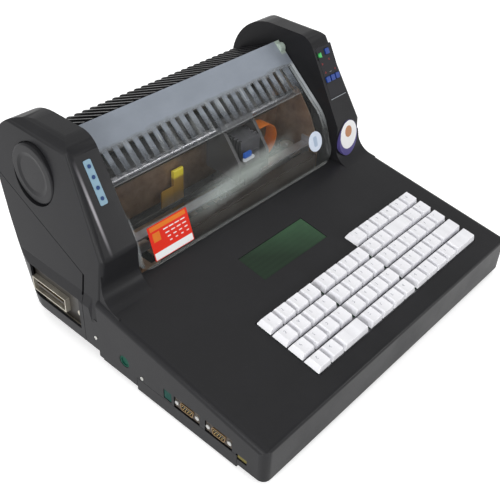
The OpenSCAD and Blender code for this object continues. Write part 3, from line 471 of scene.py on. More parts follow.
def ground_steel(name, colour, roughness, scale=(1, 1, 1)):
    """Bright steel with fine lines; the scale draws them out along one axis."""
    f = Finish(name)
    lines = f.noise(0.004, 5, f.stretched(scale), 0.7)
    tarnish = f.spread(f.noise(0.018, 4), 0.45, 0.78)
    rough = roughness + (lines - 0.5) * 0.22 + tarnish * 0.12
    return f.surface(f.mix(tarnish * 0.5, colour, shade(colour, 0.62)), rough, f.bump(lines, 0.00002, 0.5),
                     metallic=1.0)


def passivated_sheet(name, colour, second, roughness):
    """Zinc sheet with the cloudy tint of its passivation."""
    f = Finish(name)
    clouds = f.spread(f.noise(0.02, 5, roughness=0.65), 0.38, 0.68)
    lines = f.noise(0.003, 4, f.stretched((1, 9, 9)), 0.7)
    return f.surface(f.mix(clouds, colour, second), roughness + (lines - 0.5) * 0.2,
                     f.bump(lines, 0.00002, 0.5), metallic=0.85)


def circuit_board(name, colour):
    """Lacquered board with traces under the lacquer."""
    f = Finish(name)
    traces = f.node("ShaderNodeTexBrick", {"offset": 0.5}, output="Fac", Vector=f.object_place, Scale=90.0,
                    Mortar_Size=0.035, Brick_Width=0.9, Row_Height=0.4)
    pads = f.specks(0.006) < 0.12
    copper = f.mix(traces * 0.5, colour, shade(colour, 2.2))
    return f.surface(f.mix(pads, copper, (0.55, 0.50, 0.36)), 0.32 + f.noise(0.01) * 0.2,
                     f.bump(traces, 0.00005, 0.4))


def printed_film(name, colour, roughness=0.35):
    """Printed sticker or film: even ink with faint fading and fibre."""
    f = Finish(name)
    fading = f.spread(f.noise(0.014, 4), 0.4, 0.7)
    fibre = f.noise(0.0006, 3)
    return f.surface(f.mix(fading * 0.12, colour, shade(colour, 0.7)), roughness + (fibre - 0.5) * 0.15,
                     f.bump(fibre, 0.00003, 0.4), Specular_IOR_Level=0.15)


def lid_climb(f):
    """Share of the lid's upper flat that lies below a point; less than 0 under the bend."""
    along = (f.axis("Y") - from_front(LID_KNEE[0])) * math.cos(LID_RISE)
    risen = (f.axis("Z") - over_base(LID_KNEE[1])) * math.sin(LID_RISE)
    return (along + risen) * (1 / (LID_FLAT * MM))


def lid_edges(f, climb):
    """Where the lid is seen edge on: painted highlights on its side rims, on the left rim below the bend and
    on its foot; and its hinge lugs.
    """
    across, side = f.axis("X"), f.off("X")
    behind = f.axis("Y") - from_front(LID_BACK[0])
    above = f.axis("Z") - over_base(LID_FOOT[1])
    rims = f.step(side, RIM_X, 1.5) * (0.15 + f.spread(climb, -0.15, 0.25) * 0.85)
    under_bend = f.spread(climb, 0.20, -0.10) * f.spread(climb, -0.55, -0.25)
    left_rim = f.step(across, LEFT_RIM_X, -1.5) * under_bend
    lugs = f.step(side, LUG_X, 0.8) * f.step(behind, -LUG_REACH, 2.0)
    foot = f.step(above, FOOT_RIM, -1.0)
    return rims, left_rim, lugs, foot


def lid_bend_glare(f, climb):
    """Painted reflection: a pale streak along the lid's bend that ends short of both rims."""
    across = f.axis("X")
    off_bend = f.maths("ABSOLUTE", climb + GLARE_DROP - across * GLARE_RISE)
    return f.spread(off_bend, 0.14, 0.03) * f.step(across, -85, 55) * f.step(across, 95, -40)


def clear_plastic(name, values):
    """Clear moulding: hazed by handling, frosted behind the slots; a painted reflection streak along its
    bend, painted highlights on its rims and foot where it is seen edge on, and pale hinge lugs.
    """
    f = Finish(name)
    climb = lid_climb(f)
    smears = f.spread(f.noise(0.045, 5, roughness=0.6), 0.42, 0.75)
    scratches = f.noise(0.0025, 4, f.stretched((1, 12, 6)), 0.75)
    cloud = f.spread(f.noise(0.018, 4, f.stretched((0.5, 1, 1)), 0.6), 0.3, 0.75)
    streaks = f.spread(f.noise(0.006, 3, f.stretched((1, 0.12, 0.12)), 0.6), 0.50, 0.66)
    frosted = f.spread(climb + (cloud - 0.5) * 0.06, FROST_FROM, FROST_FROM + 0.06)
    # Painted glints: pale streaks in the alpha over the slots
    grating_glints = f.spread(climb, SLOTS_FROM, SLOTS_FROM + 0.06) * streaks
    rims, left_rim, lugs, foot = lid_edges(f, climb)
    # Painted reflection: pale streak along the bend, in colour and alpha
    bend = lid_bend_glare(f, climb)
    facing = f.node("ShaderNodeLayerWeight", output="Facing", Blend=0.5)
    glance = f.maths("POWER", facing, 4.0)
    # Rims, left rim and foot raise the alpha as painted highlights
    zones = f.most(frosted * (values.frosting - 0.10 * cloud), rims * 0.72)
    edges = f.most(f.most(lugs * 0.85, left_rim * 0.28), foot * 0.24)
    # Besides haze and smears, the alpha carries the painted reflection along the bend and painted glints over
    # the slots
    haze = values.haze + smears * 0.03 + grating_glints * 0.16 + bend * (0.24 + smears * 0.12) + glance * 0.5
    alpha = f.most(f.most(zones, edges), haze)
    # Rims and the left rim take a pale colour as a painted highlight
    body = f.mix(frosted, f.mix(f.most(rims, left_rim), values.tint, (0.62, 0.66, 0.68)), values.frost)
    # The pale colour along the bend is painted reflection; the smears are handling marks
    glare_and_smears = f.mix(smears * 0.3, f.mix(bend, body, (0.50, 0.56, 0.52)), shade(values.frost, 1.25))
    colour = f.mix(lugs, glare_and_smears, (0.42, 0.50, 0.44))
    rough = 0.16 + smears * 0.10 + frosted * 0.30 + (scratches - 0.5) * 0.08
    return f.surface(colour, rough, f.bump(scratches, 0.00003, 0.35), Alpha=alpha, IOR=1.49,
                     Specular_IOR_Level=0.3)


def frosted_plastic(name, colour, frosting):
    """Frosted clear moulding, clearer towards its lower edge, with a painted highlight along that edge and
    painted glints on its fins.
    """
    f = Finish(name)
    clear = 0.16
    climb = lid_climb(f)
    cloud = f.spread(f.noise(0.012, 4, roughness=0.6), 0.3, 0.75)
    grain = f.noise(0.0012, 3)
    glints = f.spread(f.noise(0.008, 3, f.stretched((1.6, 0.2, 0.2)), 0.6), 0.58, 0.68)
    fade = f.spread(climb + (cloud - 0.5) * 0.08, 0.40, 0.62)
    # Painted highlight along the lower edge and painted glints on the fins, in colour and alpha
    lower_edge_highlight = f.spread(climb, SLOTS_FROM, SLOTS_FROM - 0.008)
    frost = f.mix(cloud, shade(colour, 0.7), shade(colour, 1.2))
    base = f.mix(f.most(glints * 0.6, lower_edge_highlight), f.mix(fade, shade(colour, 0.4), frost), (0.55, 0.58, 0.58))
    body = clear + fade * (frosting - clear - cloud * 0.25)
    alpha = f.most(body, f.most(lower_edge_highlight * 0.30, glints * fade * 0.55))
    return f.surface(base, 0.35 + grain * 0.2, f.bump(grain, 0.00005, 0.5), Alpha=alpha, IOR=1.49)


def tinted_window(name, colour):
    """Display window: dark green film behind gloss, lighter towards the right and the rear."""
    f = Finish(name)
    rows = f.bands(55.0)
    clouds = f.spread(f.noise(0.02, 3), 0.35, 0.7)
    lit = f.spread(f.axis("X") + f.axis("Y") * 1.4, -0.085, 0.005)
    base = f.mix(lit * (0.75 + clouds * 0.25) + rows * 0.05, shade(colour, 0.35), shade(colour, 1.5))
    return f.surface(base, 0.30 + f.noise(0.004, 3) * 0.12, f.bump(f.noise(0.03, 2), 0.0002, 0.1),
                     Specular_IOR_Level=0.12)


def lamp_lens(name, colour, glow):
    """Coloured lens of a small lamp that is on."""
    f = Finish(name)
    grain = f.noise(0.0008, 3)
    base = f.mix(grain * 0.4, colour, shade(colour, 0.6))
    return f.surface(base, 0.25 + grain * 0.15, f.bump(grain, 0.00004, 0.5), Emission_Color=(*colour, 1),
                     Emission_Strength=glow)


def polyimide(name, colour):
    """Orange flat cable: copper tracks show through the film."""
    f = Finish(name)
    tracks = f.spread(f.bands(260.0), 0.45, 0.6)
    return f.surface(f.mix(tracks * 0.6, colour, shade(colour, 0.55)), 0.24 + f.noise(0.003) * 0.15,
                     f.bump(tracks, 0.00006, 0.6), Coat_Weight=0.4, Coat_Roughness=0.15)


# ------------------------------------------------------------------ shaping helpers

def only(piece):
    """Selects one object and makes it active."""
    bpy.ops.object.select_all(action="DESELECT")
    piece.select_set(True)
    bpy.context.view_layer.objects.active = piece
    return piece


def lay(piece, reference, x=0.0, y=0.0, z=0.0, turn=0.0):
    """Lays a new piece on a reference plane, moved and turned there, and leaves its place in its mesh."""
    piece.matrix_world = reference @ Matrix.Translation((x, y, z)) @ Matrix.Rotation(turn, 4, "Z")
    only(piece)
    bpy.ops.object.transform_apply(location=True, rotation=True, scale=True)
    return piece


def slot_of(node):
    """Material slot of a CAD node."""
    return next(part["material_slot"] for part in frame["record"]["subparts"] if part["node"] == node)


def finish_piece(piece, name, body, like, material):
    """Names a piece, gives it a material and, where one is told, the body it rides on; it looks up a like
    node's slot but does not keep it.
    """
    piece.name = name
    piece.data.name = name
    piece.data.materials.clear()
    piece.data.materials.append(material)
    if body:
        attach(piece, body)
    slot_of(like)
    return piece


def apply_modifier(piece, kind, **values):
    """Adds a modifier to a piece and applies it."""
    only(piece)
    modifier = piece.modifiers.new(kind.title(), kind)
    for name, value in values.items():
        setattr(modifier, name, value)
    bpy.ops.object.modifier_apply(modifier=modifier.name)


def break_edges(piece, width):
    """Rounds the sharp edges of a piece, in its own units."""
    apply_modifier(piece, "BEVEL", width=width, segments=2, limit_method="ANGLE", angle_limit=CURVE_ANGLE)


def smooth_curves(piece):
    """Shades the curves of a piece smooth and keeps its sharp edges."""
    only(piece)
    bpy.ops.object.shade_smooth_by_angle(angle=CURVE_ANGLE)


def join(pieces):
    """Makes one mesh of several."""
    bpy.ops.object.select_all(action="DESELECT")
    for piece in pieces:
        piece.select_set(True)
    bpy.context.view_layer.objects.active = pieces[0]
    if len(pieces) > 1:
        bpy.ops.object.join()
    return bpy.context.view_layer.objects.active


def paint(node, material):
    """Gives a CAD node its finish."""
    data = NODES[node].data
    if data.materials:
        NODES[node].material_slots[0].material = material
    else:
        data.materials.append(material)


def shade_walls_flat(piece):
    """Shades the large plane walls flat, so that the slivers round their openings draw no streaks."""
    faces = piece.data.polygons
    wall_of = [(*(round(c, 2) for c in face.normal), round(face.normal.dot(face.center), 4))
               for face in faces]
    area = {}
    for wall, face in zip(wall_of, faces):
        area[wall] = area.get(wall, 0.0) + face.area
    if max(area.values(), default=0.0) < WALL_AREA:
        return
    only(piece)
    bpy.ops.object.mode_set(mode="EDIT")
    bpy.ops.mesh.select_mode(type="FACE")
    bpy.ops.mesh.select_all(action="DESELECT")
    bpy.ops.object.mode_set(mode="OBJECT")
    for wall, face in zip(wall_of, faces):
        face.select = area[wall] >= WALL_AREA
    bpy.ops.object.mode_set(mode="EDIT")
    bpy.ops.mesh.faces_shade_flat()
    bpy.ops.mesh.select_mode(type="VERT")
    bpy.ops.object.mode_set(mode="OBJECT")


def dressed(node, material, edge=0.0):
    """A copy of a CAD node with welded corners, broken edges and smooth curves, which stands for it."""
    source = NODES[node]
    piece = source.copy()
    piece.data = source.data.copy()
    for key in list(piece.keys()):
        del piece[key]
    piece.parent = None
    piece.matrix_world = Matrix.Identity(4)
    bpy.context.scene.collection.objects.link(piece)
    only(piece)
    bpy.ops.object.mode_set(mode="EDIT")
    bpy.ops.mesh.select_all(action="SELECT")
    bpy.ops.mesh.remove_doubles(threshold=1e-6)
    bpy.ops.object.mode_set(mode="OBJECT")
    if edge:
        break_edges(piece, edge)
    smooth_curves(piece)
    shade_walls_flat(piece)
    apply_modifier(piece, "WEIGHTED_NORMAL", keep_sharp=True, weight=80)
    finish_piece(piece, node + "_surface", source["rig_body"], node, material)
    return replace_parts(piece, node)


def plate(width, height, thick, corner=0.0):
    """A plate on the XY plane, in the units of its reference plane, with rounded corners."""
    bpy.ops.object.select_all(action="DESELECT")
    bpy.ops.mesh.primitive_plane_add(size=1, location=(0, 0, 0))
    piece = stretch(bpy.context.active_object, width, height)
    bpy.ops.object.mode_set(mode="EDIT")
    bpy.ops.mesh.select_all(action="SELECT")
    if corner:
        bpy.ops.mesh.bevel(offset=corner, segments=5, affect="VERTICES")
    bpy.ops.mesh.extrude_region_move(TRANSFORM_OT_translate={"value": (0, 0, thick)})
    bpy.ops.mesh.select_all(action="SELECT")
    bpy.ops.mesh.normals_make_consistent(inside=False)
    bpy.ops.object.mode_set(mode="OBJECT")
    return piece


def disc(radius, thick, sides, edge=0.0):
    """A disc that stands on the XY plane, in the units of its reference plane."""
    bpy.ops.object.select_all(action="DESELECT")
    bpy.ops.mesh.primitive_cylinder_add(vertices=sides, radius=radius, depth=thick,
                                        location=(0, 0, thick / 2))
    piece = bpy.context.active_object
    bpy.ops.object.transform_apply(location=True, rotation=False, scale=False)
    if edge:
        break_edges(piece, edge)
    return piece


def stretch(piece, width, height):
    """A piece of unit size made as wide and as high as told."""
    piece.scale = (width, height, 1)
    only(piece)
    bpy.ops.object.transform_apply(location=False, rotation=False, scale=True)
    return piece


def arc(centre, radius, start, end, steps):
    """Points on an arc, with its angles in degrees."""
    angles = [math.radians(start + (end - start) * i / steps) for i in range(steps + 1)]
    return [(centre[0] + radius * math.cos(a), centre[1] + radius * math.sin(a)) for a in angles]


def ribbon(route, width, thick, view):
    """A sheet that follows a route drawn in a view and is as wide as told across it, in millimetres."""
    curve = bpy.data.curves.new("route", "CURVE")
    curve.dimensions = "2D"
    curve.extrude = width / 2
    line = curve.splines.new("POLY")
    line.points.add(len(route) - 1)
    for point, (along, up) in zip(line.points, route):
        point.co = (along, up, 0, 1)
    piece = bpy.data.objects.new("route", curve)
    bpy.context.scene.collection.objects.link(piece)
    only(piece)
    bpy.ops.object.convert(target="MESH")
    piece = lay(bpy.context.active_object, view)
    apply_modifier(piece, "SOLIDIFY", thickness=thick * MM, offset=0)
    smooth_curves(piece)
    return piece


def lettering(words, size):
    """Plain letters as a thin mesh, centred on the XY plane."""
    bpy.ops.object.select_all(action="DESELECT")
    bpy.ops.object.text_add(location=(0, 0, 0))
    piece = bpy.context.active_object
    piece.data.body = words
    piece.data.size = size
    piece.data.align_x = "CENTER"
    piece.data.align_y = "CENTER"
    piece.data.extrude = 0.05
    piece.data.resolution_u = 2
    only(piece)
    bpy.ops.object.convert(target="MESH")
    return bpy.context.active_object


# ------------------------------------------------------------------ operators

class BuildStage(bpy.types.Operator):
    """Sets up the floor, the backdrop light, the lamps and the camera."""
    bl_idname = "register.build_stage"
    bl_label = "Build stage"
    FLOOR_SIZE = 8
    FLOOR_DROP = 0.0002
    # Light that the floor gives off where it is seen, which makes its white full
    GLOW = 0.42

    def execute(self, context):
        values = settings(context).stage
        self.add_camera(context, values)
        self.add_floor()
        self.add_lamps(values)
        self.set_world(context, values)
        context.scene.view_settings.view_transform = "Standard"
        return {"FINISHED"}

    def add_camera(self, context, values):
        """Camera that looks along the azimuth and elevation, and leans by the roll."""
        azimuth, elevation, roll = values.camera_turn
        level = math.cos(elevation)
        back = Vector((math.sin(azimuth) * level, -math.cos(azimuth) * level, math.sin(elevation)))
        right = Vector((0, 0, 1)).cross(back).normalized()
        up = back.cross(right)
        turned_right = math.cos(roll) * right + math.sin(roll) * up
        turned_up = math.cos(roll) * up - math.sin(roll) * right
        matrix = Matrix((turned_right, turned_up, back)).transposed().to_4x4()
        matrix.translation = Vector(values.camera_place)
        data = bpy.data.cameras.new("view")
        data.sensor_width = 36
        data.lens = values.lens
        data.clip_start = 0.01
        camera = bpy.data.objects.new("view", data)
        context.scene.collection.objects.link(camera)
        camera.matrix_world = matrix
        context.scene.camera = camera

    def add_floor(self):
        """Floor that takes the shadow and looks white where the camera sees it."""
        bpy.ops.object.select_all(action="DESELECT")
        bpy.ops.mesh.primitive_plane_add(size=self.FLOOR_SIZE, location=(0, 0, -self.FLOOR_DROP))
        floor = bpy.context.active_object
        floor.name = "floor"
        f = Finish("white floor")
        soft = f.noise(0.5, 2) * 0.02
        glow = f.mix(seen_directly(f.tree), (0, 0, 0), (self.GLOW,) * 3)
        white = f.mix(soft, (0.92, 0.92, 0.92), (0.85, 0.85, 0.85))
        floor.data.materials.append(f.surface(white, 0.85, Emission_Color=glow, Emission_Strength=1.0))

    def add_lamps(self, values):
        """Four square lamps, each told by its power, size, place and what it points at."""
        for name, power, size, spot, target in (
                ("overhead lamp", values.top_light, 1.8, (0.2, 0.3, 1.9), (0, 0, 0.1)),
                ("left lamp", values.side_light, 0.9, (-1.7, -0.1, 0.42), (0, 0.05, 0.1)),
                ("edge lamp", values.edge_light, 0.35, (-1.35, -1.03, 0.50), (-0.18, 0.03, 0.16)),
                ("lid lamp", values.lid_light, 0.5, (1.05, -1.45, 0.62), (0.0, 0.05, 0.13))):
            data = bpy.data.lights.new(name, "AREA")
            data.energy = power
            data.size = size
            lamp = bpy.data.objects.new(name, data)
            bpy.context.scene.collection.objects.link(lamp)
            lamp.location = spot
            lamp.rotation_euler = (Vector(target) - Vector(spot)).to_track_quat("-Z", "Y").to_euler()

    def set_world(self, context, values):
        """Even light all round, which looks white where it is seen itself."""
        world = bpy.data.worlds.new("surroundings")
        context.scene.world = world
        world.use_nodes = True
        tree = world.node_tree
        tree.nodes.clear()
        background = tree.nodes.new("ShaderNodeBackground")
        strength = values.world_light + seen_directly(tree) * (1.0 - values.world_light)
        tree.links.new(strength.socket, background.inputs["Strength"])
        background.inputs["Color"].default_value = (1, 1, 1, 1)
        output = tree.nodes.new("ShaderNodeOutputWorld")
        tree.links.new(background.outputs[0], output.inputs["Surface"])


class DressCasings(bpy.types.Operator):
    """Finishes the moulded shells, the tray, the paper guide, the knob and the feet."""
    bl_idname = "register.dress_casings"
    bl_label = "Dress casings"
    TRAY_EDGE = 0.0004

    def execute(self, context):
        values = settings(context).case
        # The black shells carry the painted highlight streak on the left cheek's shoulder
        black = moulded_plastic("moulded black", values.colour, values.roughness, values.grain,
                                sheen=values.sheen, with_shoulder_highlight=True)
        for node in ("upper_case", "rear_case", "base_tray", "rear_paper_guide", "feed_knob", "mains_inlet",
                     "power_switch", "switch_rocker"):
            dressed(node, black, self.TRAY_EDGE if node == "base_tray" else values.edge)
        paint("feet", rubber("foot rubber", (0.015, 0.015, 0.015)))
        paint("case_screws", ground_steel("zinc screws", (0.6, 0.6, 0.6), 0.3))
        return {"FINISHED"}


class DressLid(bpy.types.Operator):
    """Finishes the clear hinged lid."""
    bl_idname = "register.dress_lid"
    bl_label = "Dress lid"

    def execute(self, context):
        values = settings(context).lid
        dressed("lid", clear_plastic("clear plastic", values), 0.0004)
        dressed("lid_grille", frosted_plastic("frosted plastic", values.frost, values.frosting))
        return {"FINISHED"}


class DressPrinter(bpy.types.Operator):
    """Finishes the printer's mechanism."""
    bl_idname = "register.dress_printer"
    bl_label = "Dress printer"

    def execute(self, context):
        bright = ground_steel("ground steel", (0.44, 0.45, 0.46), 0.3, (1, 14, 14))
        zinc = passivated_sheet("zinc sheet", (0.50, 0.51, 0.54), (0.34, 0.33, 0.35), 0.38)
        yellow_zinc = passivated_sheet("yellow zinc sheet", (0.44, 0.31, 0.21), (0.24, 0.15, 0.10), 0.45)
        can = ground_steel("motor can", (0.36, 0.37, 0.39), 0.35, (6, 6, 1))
        nylon = moulded_plastic("gear nylon", (0.62, 0.58, 0.48), 0.42, 0.0006)
        dark = moulded_plastic("carriage plastic", (0.035, 0.034, 0.036), 0.4, 0.0005)
        casting = ground_steel("blackened casting", (0.10, 0.10, 0.11), 0.5)
        inked = moulded_plastic("ribbon cartridge", (0.030, 0.024, 0.020), 0.34, 0.0008, sheen=0.25)
        ochre = self.sensor_plastic()
        for nodes, material, edge in (
                (("guide_rod",), ground_steel("rod steel", (0.20, 0.20, 0.21), 0.22, (1, 14, 14)), 0.0),
                (("platen_shaft", "drive_pulley", "idler_pulley"), bright, 0.0),
                (("guide_rail",), zinc, 0.0002),
                (("left_side_plate", "right_side_plate", "chassis_plate"), yellow_zinc, 0.0002),
                (("carriage_motor", "feed_motor"), can, 0.0003),
                (("platen_gear", "feed_pinion"), nylon, 0.0),
                (("platen_roller",), rubber("platen rubber", (0.030, 0.030, 0.032), 0.0006), 0.0),
                (("carriage",), dark, 0.0003),
                (("print_head",), casting, 0.0002),
                (("ribbon_cartridge",), inked, 0.0004),
                (("timing_belt",), rubber("belt rubber", (0.02, 0.02, 0.02)), 0.0),
                (("paper_sensor",), ochre, 0.0004)):
            for node in nodes:
                dressed(node, material, edge)
        self.add_sensor_shoe(ochre)
        self.add_chute(yellow_zinc)
        self.add_flex(polyimide("flat cable film", (0.86, 0.22, 0.015)), zinc)
        self.add_head_plug()
        return {"FINISHED"}

    def sensor_plastic(self):
        """Ochre moulding with a bright yellow tip."""
        f = Finish("sensor plastic")
        tip = f.step(f.axis("Z") - over_base(SENSOR_TIP), 0, 3)
        grain = f.noise(0.0008, 3)
        return f.surface(f.mix(tip, (0.36, 0.20, 0.012), (0.80, 0.66, 0.02)), 0.35 + grain * 0.15,
                         f.bump(grain, 0.00004, 0.5))

    def add_sensor_shoe(self, ochre):
        """Shoe beside the paper sensor, which holds its lead."""
        shoe = lay(plate(29, 24, 1.6, 2.5), plane(0, SHOE_BACK, 0, UPRIGHT), -36, 74)
        finish_piece(shoe, "sensor_shoe", "case", "paper_sensor", ochre)

    def add_chute(self, sheet):
        """Sheet that leads the paper from the rear slot round under the platen, with its apron in front."""
        slot = [(358, 139), (350, 138), (336, 128)]
        apron = [(287.2, 112), (287.5, 70)]
        route = slot + arc(PLATEN, CHUTE_RADIUS, 350, 210, 20) + apron
        chute = ribbon(route, 2 * SIDE_PLATE_X - 1, 0.8, SIDE_VIEW)
        finish_piece(chute, "paper_chute", "case", "chassis_plate", sheet)

    def add_flex(self, film, sheet):
        """Flat cable from the head round its loop to a post on the chassis."""
        low, high = FLEX_HEIGHTS
        # The straight stretches have a point every 5 mm
        out = [(x, high) for x in (HEAD_SIDE_X, *range(60, 80, 5))]
        home = [(x, low) for x in (*range(75, 25, -5), FLEX_END_X)]
        loop = arc((FLEX_LOOP_X, (low + high) / 2), FLEX_RADIUS, 90, -90, 24)
        cable = ribbon(out + loop + home, FLEX_WIDTH, 0.5, plane(0, FLEX_BACK, 0, UPRIGHT))
        finish_piece(cable, "flex_ribbon", None, "flex_cable", film)
        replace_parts(cable, "flex_cable")
        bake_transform(cable)
        post = ribbon([(30, 22), (30, 86), (28, 86.7), (24, 86.7)], 5, 1.0, plane(0, POST_BACK, 0, UPRIGHT))
        finish_piece(post, "flex_post", "case", "chassis_plate", sheet)

    def add_head_plug(self):
        """Plug of the head's cable on the front of the head, with its white latch."""
        head = plane(0, HEAD_FRONT, 0, UPRIGHT)
        plug = lay(plate(11, 6, 2.4, 0.8), head, 28.5, 121)
        latch = lay(plate(15, 3.4, 3.0, 0.6), head, 30.5, 115.8)
        for name, piece, finish, colour in (("head_plug", plug, "plug blue", (0.004, 0.085, 0.42)),
                                            ("head_plug_latch", latch, "plug white", (0.62, 0.66, 0.72))):
            finish_piece(piece, name, "carriage", "print_head",
                         moulded_plastic(finish, colour, 0.35, 0.0004))


class DressKeys(bpy.types.Operator):
    """Finishes the key caps and prints plain legends on them."""
    bl_idname = "register.dress_keys"
    bl_label = "Dress keys"
    # Size of a word of three letters or more against a single letter, and where a word stands on its key
    LONG_WORD = 0.62
    WORD_X, WORD_Y = -1.6, 1.4

    def execute(self, context):
        values = settings(context).keys
        cap = moulded_plastic("key caps", values.colour, 0.42, 0.0005, wear=0.08, depth=0.00003)
        ink = printed_film("legend ink", values.legend)
        for (row, block), words in KEY_WORDS.items():
            name = f"row{row}_block{block}"
            dressed("keys_" + name, cap, 0.0006)
            letters = self.print_words(row, block, words.split(), values.legend_height / MM)
            finish_piece(letters, "legends_" + name, "keys_" + name, "keys_" + name, ink)
        return {"FINISHED"}

    def print_words(self, row, block, words, height):
        """One word on each key of a row's block; on a wide key it stands at the left."""
        left = FIRST_COLUMN + (block - 1) * (BLOCK_COLUMNS * KEY_PITCH + BLOCK_GAP)
        up = FRONT_ROW + (LAST_ROW - row) * KEY_PITCH
        letters = []
        for number, word in enumerate(words):
            wide = WIDE_KEYS.get((row, block)) == number
            middle = left + (KEY_PITCH / 4 if wide else 0)
            letter = lettering(word, height if len(word) < 3 else height * self.LONG_WORD)
            letters.append(lay(letter, DECK, middle + self.WORD_X, up + self.WORD_Y, KEY_TOP))
            left += KEY_PITCH * (2 if wide else 1)
        return join(letters)


class DressDisplay(bpy.types.Operator):
    """Finishes the display window and the boards behind the deck."""
    bl_idname = "register.dress_display"
    bl_label = "Dress display"

    def execute(self, context):
        dressed("lcd_window", tinted_window("display window", (0.025, 0.060, 0.030)), 0.0003)
        board = circuit_board("green board", (0.02, 0.10, 0.04))
        for node in ("lcd_module", "keyboard_board", "main_board"):
            paint(node, board)
        paint("keyboard_plate", moulded_plastic("key plate", (0.24, 0.24, 0.26), 0.5, 0.0008))
        paint("power_supply", passivated_sheet("supply case", (0.5, 0.5, 0.52), (0.4, 0.4, 0.42), 0.35))
        return {"FINISHED"}


class DressPanel(bpy.types.Operator):
    """Finishes the control panel, its buttons and lamp, and the indicator strip."""
    bl_idname = "register.dress_panel"
    bl_label = "Dress panel"
    # Places on the cheek's slope: distance from the middle, height up the slope
    LAMP = (158, 84)
    STRIP = (-166, 67)
    DOT_PITCH = 10
    FILM_TOP = 0.22
    # Arrows with their turn in degrees; lines with their length and width first
    ARROWS = ((158, 74, -90), (171, 76.5, 90), (159.2, 64, 0), (176, 64, 180))
    LINES = ((27, 0.8, 168, 33.5), (3.5, 0.5, 167.6, 63))

    def execute(self, context):
        dressed("control_panel", printed_film("panel film", (0.012, 0.012, 0.015), 0.5), 0.0002)
        blue = moulded_plastic("blue buttons", (0.008, 0.036, 0.20), 0.35, 0.0004, sheen=0.3)
        for node in ("feed_button", "left_button", "middle_button", "right_button"):
            dressed(node, blue, 0.0005)
        glow = lamp_lens("green lamp", (0.04, 0.40, 0.09), 0.12)
        dressed("panel_led", glow, 0.0005)
        lamp = lay(disc(3.6, 0.5, 3, 0.15), CHEEK, *self.LAMP, 1.1, UPRIGHT)
        finish_piece(lamp, "lamp_mark", "case", "panel_led", glow)
        self.print_panel()
        dressed("indicator_strip", printed_film("strip film", (0.19, 0.305, 0.385), 0.3), 0.0002)
        x, middle = self.STRIP
        dots = [lay(disc(1.9, 0.25, 32, 0.1), CHEEK, x, middle + (i - 1.5) * self.DOT_PITCH, 0.55)
                for i in range(4)]
        finish_piece(join(dots), "strip_dots", "case", "indicator_strip",
                     printed_film("dot ink", (0.006, 0.035, 0.13)))
        return {"FINISHED"}

    def print_panel(self):
        """Plain marks beside the lamp and the buttons, and the line under them."""
        arrows = [lay(disc(1.8, INK, 3), CHEEK, x, up, self.FILM_TOP, math.radians(turn))
                  for x, up, turn in self.ARROWS]
        lines = [lay(plate(long, high, INK), CHEEK, x, up, self.FILM_TOP) for long, high, x, up in self.LINES]
        for name, marks, ink in (("panel_arrows", arrows, printed_film("dark red ink", (0.16, 0.02, 0.02))),
                                 ("panel_lines", lines, printed_film("pale ink", (0.24, 0.26, 0.28)))):
            finish_piece(join(marks), name, "case", "control_panel", ink)


